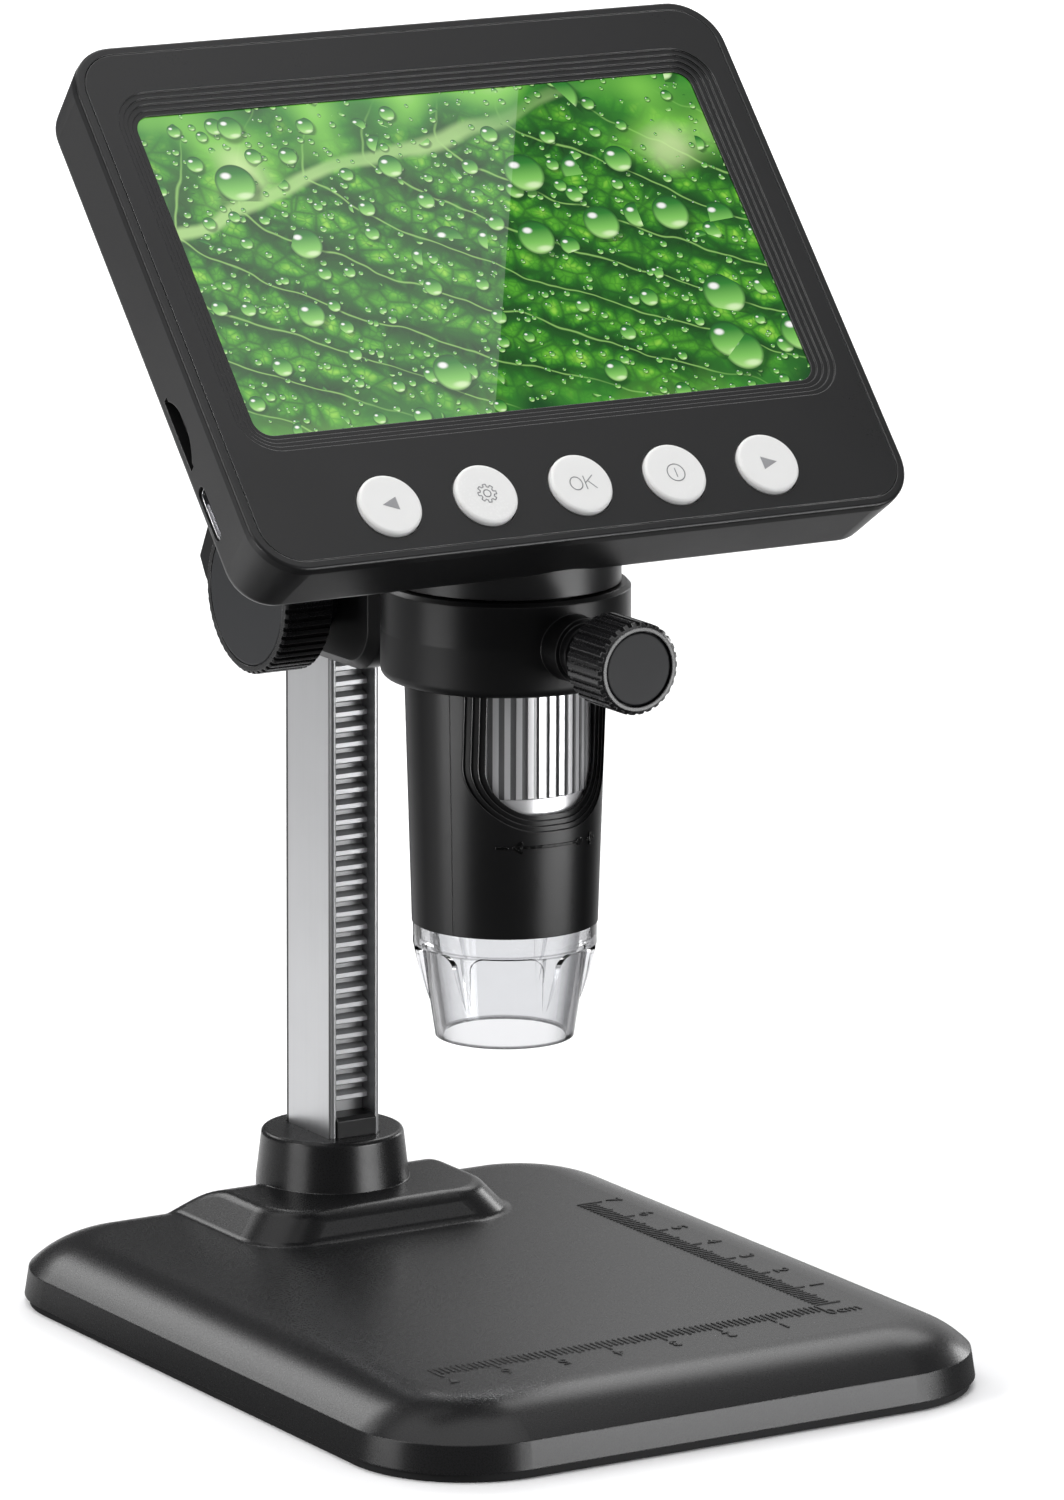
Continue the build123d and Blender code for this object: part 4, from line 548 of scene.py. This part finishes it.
# --- display picture: a leaf under dew, seen close -------------------------------------
def leaf_surface(s, wide):
    """Veins, net and pillows of the leaf, in greens."""
    along = s.split(s.mapped(wide, location=(-0.15, -0.62, 0), rotation=(0, 0, math.radians(-14))))
    bend = s.noise(wide, 2.1, 2.0)
    side = s.math("ABSOLUTE", s.math("ADD", along[1], s.around_zero(bend, 0.16)))
    middle_vein = s.ease(side, 0.008, 0.030, 1.0, 0.0)
    # side veins leave the middle vein at a slant and curve forward
    lean = s.math("MULTIPLY", s.math("POWER", side, 1.25), 1.15)
    wobble = s.around_zero(s.noise(wide, 5.0, 2.0), 0.10)
    phase = s.math("MULTIPLY", s.math("ADD", s.math("SUBTRACT", along[0], lean), wobble), 4.4)
    gap = s.math("ABSOLUTE", s.math("SUBTRACT", s.math("FRACT", phase), 0.5))
    side_vein = s.ease(gap, 0.47, 0.5)
    pillow = s.ease(gap, 0.0, 0.5, 1.0, 0.0)
    cells = s.voronoi(s.mapped(wide, scale=(1.0, 1.2, 1.0)), 15.0, "DISTANCE_TO_EDGE")["Distance"]
    small = s.voronoi(wide, 46.0, "DISTANCE_TO_EDGE")["Distance"]
    net = s.ease(cells, 0.0, 0.10, 1.0, 0.0)
    fine_net = s.ease(small, 0.0, 0.12, 1.0, 0.0)
    swell = s.math("MULTIPLY", s.ease(cells, 0.0, 0.45), s.remap(small, 0.0, 0.4, 0.55, 1.0))
    light = s.math("ADD", s.math("MULTIPLY", pillow, 0.40), s.math("MULTIPLY", swell, 0.42))
    light = s.math("ADD", light, s.math("MULTIPLY", s.noise(wide, 3.2, 3.0, 0.6), 0.34))
    green = s.ramp(light, [
        (0.18, (0.004, 0.050, 0.006)), (0.42, (0.018, 0.170, 0.012)),
        (0.66, (0.085, 0.400, 0.022)), (0.92, (0.360, 0.760, 0.080)),
    ])
    for mask, amount, color in (
        (net, 0.55, (0.012, 0.105, 0.012)), (fine_net, 0.22, (0.010, 0.090, 0.010)),
        (side_vein, 0.85, (0.330, 0.640, 0.160)), (middle_vein, 0.9, (0.460, 0.740, 0.260)),
    ):
        green = s.mix(s.math("MULTIPLY", mask, amount), green, color)
    return green


def out_of_focus(s, uv, green):
    """The upper and lower ends of the leaf melt into soft light."""
    blur = s.noise(s.mapped(uv, scale=(1.73, 1.0, 1.0), location=(3.0, 1.0, 0.0)), 3.6, 1.0, 0.4)
    glow = s.ramp(blur, [
        (0.30, (0.006, 0.070, 0.012)), (0.48, (0.045, 0.280, 0.030)),
        (0.62, (0.220, 0.620, 0.080)), (0.80, (0.640, 0.880, 0.380)),
    ])
    height = s.math("ADD", s.split(uv)[1], s.around_zero(blur, 0.5))
    ends = s.math("MAXIMUM", s.ease(height, 0.70, 1.02), s.ease(height, 0.16, -0.10))
    return s.mix(ends, green, glow)


def add_drops(s, picture, wide, scale, size_low, size_high, shift, share):
    """Round drops in a share of the cells: dark upper rim, bright pool below, small highlight."""
    place = s.mapped(wide, location=shift)
    cell = s.voronoi(place, scale)
    chance = s.split(cell["Color"])
    radius = s.math("DIVIDE", s.remap(chance[0], 0.0, 1.0, size_low, size_high), scale)
    offset = s.vector("SUBTRACT", place, cell["Position"])
    x, y, _ = s.split(s.vector("DIVIDE", offset, s.join(radius, radius, 1.0)))
    reach = s.length(x, y)
    chosen = s.math("LESS_THAN", chance[1], share)
    here = s.math("MULTIPLY", s.ease(reach, 0.94, 1.0, 1.0, 0.0), chosen)
    body = s.ramp(s.math("MULTIPLY_ADD", y, 0.5, 0.5), [
        (0.0, (0.520, 0.860, 0.300)), (0.35, (0.230, 0.600, 0.120)),
        (0.75, (0.030, 0.230, 0.030)), (1.0, (0.010, 0.110, 0.016)),
    ])
    body = s.mix(s.ease(reach, 0.80, 0.98, 0.0, 0.75), body, (0.012, 0.090, 0.016))
    spot = s.length(s.math("ADD", x, 0.34), s.math("MULTIPLY", s.math("SUBTRACT", y, 0.42), 1.5))
    body = s.mix(s.ease(spot, 0.12, 0.34, 1.0, 0.0), body, (1.0, 1.0, 0.98))
    pool = s.length(
        s.math("MULTIPLY", s.math("SUBTRACT", x, 0.25), 0.7), s.math("MULTIPLY", s.math("ADD", y, 0.66), 1.8)
    )
    body = s.mix(s.ease(pool, 0.10, 0.42, 0.75, 0.0), body, (0.82, 1.0, 0.62))
    shade_reach = s.length(s.math("SUBTRACT", x, 0.10), s.math("ADD", y, 0.30))
    shadow = s.math("MULTIPLY", s.ease(shade_reach, 0.85, 1.25, 0.6, 0.0), chosen)
    return s.mix(here, s.mix(shadow, picture, (0.004, 0.045, 0.006)), body)


def display_material():
    """The picture glows under a clear, sharp coat."""
    s = Shader("display_picture")
    uv = s.coords("UV")
    wide = s.mapped(uv, scale=(1.73, 1.0, 1.0))
    picture = out_of_focus(s, uv, leaf_surface(s, wide))
    for scale, size_low, size_high, shift, share in (
        (26.0, 0.12, 0.30, (4.1, 2.7, 0.0), 0.45),
        (11.0, 0.12, 0.34, (1.3, 0.9, 0.0), 0.40),
        (4.6, 0.16, 0.30, (2.35, 5.15, 0.0), 0.40),
    ):
        picture = add_drops(s, picture, wide, scale, size_low, size_high, shift, share)
    s.set(
        Base_Color=(0.002, 0.002, 0.002, 1.0), Roughness=0.5, Specular_IOR_Level=0.0,
        Emission_Color=picture, Emission_Strength=0.95, Coat_Weight=1.0, Coat_Roughness=0.004,
    )
    return s.material


def display_picture():
    """A grid with UVs, just above the glass in the window."""
    steps_x, steps_y = 20, 12
    level = 0.02 - BEZEL_DEPTH
    bm = bmesh.new()
    uv_layer = bm.loops.layers.uv.new("UVMap")

    def corner(i, j):
        x = (i / steps_x - 0.5) * PICTURE_WIDTH
        y = (j / steps_y - 0.5) * PICTURE_HEIGHT + WINDOW_RAISE
        return bm.verts.new(SCREEN @ (Vector((x, y, level)) * MM))

    grid = [[corner(i, j) for j in range(steps_y + 1)] for i in range(steps_x + 1)]
    for i in range(steps_x):
        for j in range(steps_y):
            corners = ((i, j), (i + 1, j), (i + 1, j + 1), (i, j + 1))
            face = bm.faces.new([grid[a][b] for a, b in corners])
            for loop, (a, b) in zip(face.loops, corners):
                loop[uv_layer].uv = (a / steps_x, b / steps_y)
    mesh_object("display_picture", bm, display_material(), "head")


display_picture()


# --- ruler on the base ----------------------------------------------------------------
RULER_LENGTH = 70          # mm, one tick each
TICK_WIDTH = 0.34
TICK_RISE = 0.14
TICK_SINK = 0.1
TICK_ZONE = 4.5            # from the outer line of the ruler to the inner ends of the ticks
LABEL_OFFSET = 2.2
LABEL_SIZE = 3.6


def tick_length(i):
    if i % 10 == 0:
        return 4.6
    return 3.5 if i % 5 == 0 else 3.0


def ruler_label(number, ink, text, x, y, turn):
    name = f"ruler_number_{number}"
    curve = bpy.data.curves.new(name, "FONT")
    curve.body = text
    curve.size = LABEL_SIZE * MM
    curve.align_x = "CENTER"
    curve.align_y = "CENTER"
    curve.extrude = 0.07 * MM
    curve.resolution_u = 3
    curve.materials.append(ink.material)
    label = bpy.data.objects.new(name, curve)
    label.location = (x * MM, y * MM, (BASE_TOP + 0.06) * MM)
    label.rotation_euler = (0, 0, math.radians(turn))
    bpy.context.scene.collection.objects.link(label)
    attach(label, "stand")


def ruler():
    """Two centimetre rulers that meet at the right front corner, slightly raised."""
    ink = moulded("ruler_black", (0.004, 0.004, 0.004), 0.55, 3000.0, 0.02, 0.2)
    corner_x, corner_y = RULER_CORNER
    front_end = RULER_FRONT + TICK_ZONE
    right_end = RULER_RIGHT - TICK_ZONE
    half = TICK_WIDTH / 2
    bm = bmesh.new()
    for i in range(RULER_LENGTH + 1):
        length = tick_length(i)
        x, y = corner_x - i, corner_y + i
        for outline in (
            box_outline(x - half, front_end - length, x + half, front_end),
            box_outline(right_end, y - half, right_end + length, y + half),
        ):
            add_prism(bm, outline, BASE_TOP - TICK_SINK, BASE_TOP + TICK_RISE, lambda v: v * MM)
    mesh_object("ruler_marks", bm, ink.material, "stand")

    numbers = range(1, RULER_LENGTH // 10 + 1)
    labels = [(str(i), corner_x - 10 * i, RULER_FRONT - LABEL_OFFSET, 180.0) for i in numbers]
    labels += [(str(i), RULER_RIGHT + LABEL_OFFSET, corner_y + 10 * i, -90.0) for i in numbers]
    labels.append(("0cm", RULER_RIGHT - LABEL_OFFSET, RULER_FRONT + 0.6, 0.0))
    for number, label in enumerate(labels):
        ruler_label(number, ink, *label)


ruler()


# --- focus arrow below the window -----------------------------------------------------
ARROW_HEIGHT = 83.4
ARROW_LINE = 0.46
ARROW_RADIUS = 14.9        # radius at which a millimetre along the mark is measured


def focus_marks():
    """Minus, arrow with a dot at its tail and plus, moulded on the front of the tube."""
    ink = moulded("mark_gloss", (0.001, 0.001, 0.001), 0.20, 3000.0, 0.01, 0.1, gloss=0.2, edge=0.10)
    taper = (TUBE_TOP_RADIUS - TUBE_BOTTOM_RADIUS) / (TUBE_TOP - TUBE_BOTTOM)

    def on_tube(v):
        height = ARROW_HEIGHT + v.y
        radius = TUBE_BOTTOM_RADIUS + taper * (height - TUBE_BOTTOM) + v.z
        angle = v.x / ARROW_RADIUS
        return Vector((radius * math.sin(angle), TUBE_Y - radius * math.cos(angle), height)) * MM

    minus = [(-9.5, 0.0), (-7.8, 0.0)]
    head = [(-5.6, 0.8), (-6.9, 0.0), (-5.6, -0.8)]
    plus = [[(6.7, 0.0), (8.5, 0.0)], [(7.6, 0.9), (7.6, -0.9)]]
    shaft = [[(-6.8 + 1.1 * i, 0.0), (-5.7 + 1.1 * i, 0.0)] for i in range(10)]
    bm = bmesh.new()
    for line in (minus, head, *plus, *shaft):
        for bar in stroke(line, ARROW_LINE):
            add_prism(bm, bar, -0.1, 0.20, on_tube)
    dot = [(x + 4.6, y) for x, y in ring_points(0.62, 0.62, 14)][:-1]
    add_prism(bm, dot, -0.1, 0.24, on_tube)
    mesh_object("focus_arrow", bm, ink.material, "head")


focus_marks()


# --- stage ----------------------------------------------------------------------------
def floor_material():
    """Pale floor: in reflections its colour is painted light, bright behind the part and dim in front of it.
    """
    s = Shader("floor")
    path = s.node("ShaderNodeLightPath").outputs
    away = s.vector("DISTANCE", s.coords(), (-0.04, 0.11, 0.0))
    behind = s.ease(s.split(s.coords())[1], 0.02, 0.14, 0.18, 0.90)
    # painted reflection light: the floor's colour for glossy rays, brighter behind and near the part, dimmer
    # further out
    painted_reflection_level = s.math("MULTIPLY", behind, s.remap(away, 0.05, 0.55, 0.92, 0.36))
    through = path["Is Transmission Ray"]
    seen = s.math("MAXIMUM", path["Is Camera Ray"], s.math("MULTIPLY", through, 0.66))
    glossy = s.math("MULTIPLY", path["Is Glossy Ray"], s.math("SUBTRACT", 1.0, through))
    lit = s.mix(seen, (0.42, 0.42, 0.425), (0.955, 0.955, 0.96))
    # the far floor fades into the white surround for the camera
    far_white = s.ease(away, 0.45, 1.6, 0.0, 0.7)
    s.set(
        Base_Color=s.mix(glossy, lit, s.join(painted_reflection_level, painted_reflection_level, painted_reflection_level)),
        Roughness=0.9,
        Specular_IOR_Level=0.1,
        Emission_Color=(1.0, 1.0, 1.0, 1.0),
        Emission_Strength=s.math("MULTIPLY", path["Is Camera Ray"], far_white),
    )
    return s.material


def floor(reach=8.0):
    bm = bmesh.new()
    bm.faces.new([bm.verts.new((x, y, 0.0)) for x, y in box_outline(-reach, -reach, reach, reach)])
    mesh = bpy.data.meshes.new("floor")
    bm.to_mesh(mesh)
    bm.free()
    mesh.materials.append(floor_material())
    made = bpy.data.objects.new("floor", mesh)
    bpy.context.scene.collection.objects.link(made)


class World(Nodes):
    """The surround: backgrounds that are chosen by the kind of ray."""

    def __init__(self, name):
        world = bpy.data.worlds.new(name)
        world.use_nodes = True
        bpy.context.scene.world = world
        super().__init__(world.node_tree)
        self.tree.nodes.clear()

    def background(self, color):
        return self.feed_all(self.node("ShaderNodeBackground"), (color,))[0]

    def choose(self, factor, a, b):
        return self.feed_all(self.node("ShaderNodeMixShader"), (factor, a, b))[0]

    def grey_ramp(self, part, stops):
        """Cool greys along one part of the direction, which runs from -1 to 1."""
        place = self.math("MULTIPLY_ADD", part, 0.5, 0.5)
        return self.ramp(place, [(position, (level, level, level * 1.02)) for position, level in stops])


def surround():
    """White to the camera and through glass, soft grey as light, dim in glossy reflections."""
    w = World("studio")
    direction = w.split(w.coords("Generated"))
    depth = w.grey_ramp(direction["Y"], [(0.10, 0.05), (0.42, 0.10), (0.62, 0.42), (0.95, 0.62)])
    side = w.grey_ramp(direction["X"], [(0.05, 0.30), (0.35, 0.02), (0.70, 0.04), (0.98, 0.34)])
    studio = w.background(w.mix(1.0, depth, side, "ADD"))
    dim = w.background(w.grey_ramp(direction["Y"], [(0.30, 0.28), (0.45, 0.24), (0.60, 0.08), (0.98, 0.08)]))
    white = w.background((1.0, 1.0, 1.0, 1.0))
    path = w.node("ShaderNodeLightPath").outputs
    straight = w.math("MAXIMUM", path["Is Camera Ray"], path["Is Transmission Ray"])
    chosen = w.choose(straight, w.choose(path["Is Glossy Ray"], studio, dim), white)
    w.feed(w.node("ShaderNodeOutputWorld").inputs["Surface"], chosen)


floor()
surround()


# --- lights ---------------------------------------------------------------------------
def lamp(name, place, target, size_x, size_y, power, color=(1, 1, 1)):
    """A soft box of a size in metres and a power in watts."""
    data = bpy.data.lights.new(name, "AREA")
    data.shape = "RECTANGLE"
    data.size = size_x
    data.size_y = size_y
    data.energy = power
    data.color = color
    made = bpy.data.objects.new(name, data)
    made.location = place
    made.rotation_mode = "QUATERNION"
    made.rotation_quaternion = (Vector(target) - Vector(place)).to_track_quat("-Z", "Y")
    bpy.context.scene.collection.objects.link(made)
    return made


def card(name, place, target, size_x, size_y, power):
    """A reflector that only shows in glossy surfaces."""
    made = lamp(name, place, target, size_x, size_y, power)
    made.visible_camera = False
    made.visible_diffuse = False
    made.visible_transmission = False
    return made


def fade(made, x_dark, x_full):
    """Lets a card's light grow along X, between two places in metres."""
    made.data.use_nodes = True
    n = Nodes(made.data.node_tree)
    x = n.split(n.node("ShaderNodeNewGeometry").outputs["Position"])["X"]
    n.feed(n.tree.nodes["Emission"].inputs["Strength"], n.ease(x, x_dark, x_full))


lamp("top_box", (-0.124, -0.05, 1.55), (-0.124, -0.05, 0.0), 2.0, 1.9, 20.0)
lamp("shoulder_box", (-0.30, 1.40, 0.98), (-0.03, 0.0, 0.02), 0.8, 0.45, 6.0)
lamp("back_box", (0.82, 0.88, 1.06), (0.0, 0.0, 0.02), 0.9, 0.6, 6.0)
lamp("left_strip", (-1.35, 0.10, 0.75), (0.0, 0.0, 0.12), 0.5, 0.5, 8.0, (1.0, 0.99, 0.98))
lamp("right_strip", (0.82, -1.38, 0.20), (0.0, 0.0, 0.06), 0.7, 0.36, 6.2, (0.98, 0.99, 1.0))
lamp("edge_strip", (1.40, 0.45, 0.40), (0.0, 0.0, 0.12), 0.4, 0.4, 4.0)
fade(card("top_card", (0.40, 0.25, 0.10), (0.40, 0.0, 0.10), 0.60, 0.20, 0.24), 0.10, 0.205)
card("right_card", (0.17, -0.27, 0.038), (0.0, 0.0, 0.038), 0.24, 0.075, 0.65)
card("left_card", (-0.30, 0.02, 0.035), (0.0, 0.0, 0.035), 0.16, 0.07, 0.26)


# --- camera ---------------------------------------------------------------------------
CAMERA_PLACE = (-0.75856, -1.24417, 0.41061)
CAMERA_AZIMUTH = math.radians(-31.601)
CAMERA_ELEVATION = math.radians(12.22)
CAMERA_ROLL = math.radians(0.189)
CAMERA_SENSOR = 36.0
CAMERA_LENS = 230.4


def camera():
    level = math.cos(CAMERA_ELEVATION)
    back = Vector((
        math.sin(CAMERA_AZIMUTH) * level, -math.cos(CAMERA_AZIMUTH) * level, math.sin(CAMERA_ELEVATION)
    ))
    right = Vector((math.cos(CAMERA_AZIMUTH), math.sin(CAMERA_AZIMUTH), 0))
    up = back.cross(right)
    c, s = math.cos(CAMERA_ROLL), math.sin(CAMERA_ROLL)
    axes = Matrix((c * right + s * up, c * up - s * right, back)).transposed().to_4x4()
    data = bpy.data.cameras.new("camera")
    data.sensor_width = CAMERA_SENSOR
    data.lens = CAMERA_LENS
    data.clip_start = 0.05
    data.clip_end = 30.0
    made = bpy.data.objects.new("camera", data)
    made.matrix_world = Matrix.Translation(CAMERA_PLACE) @ axes
    bpy.context.scene.collection.objects.link(made)
    bpy.context.scene.camera = made


camera()
bpy.context.scene.view_settings.view_transform = "Standard"
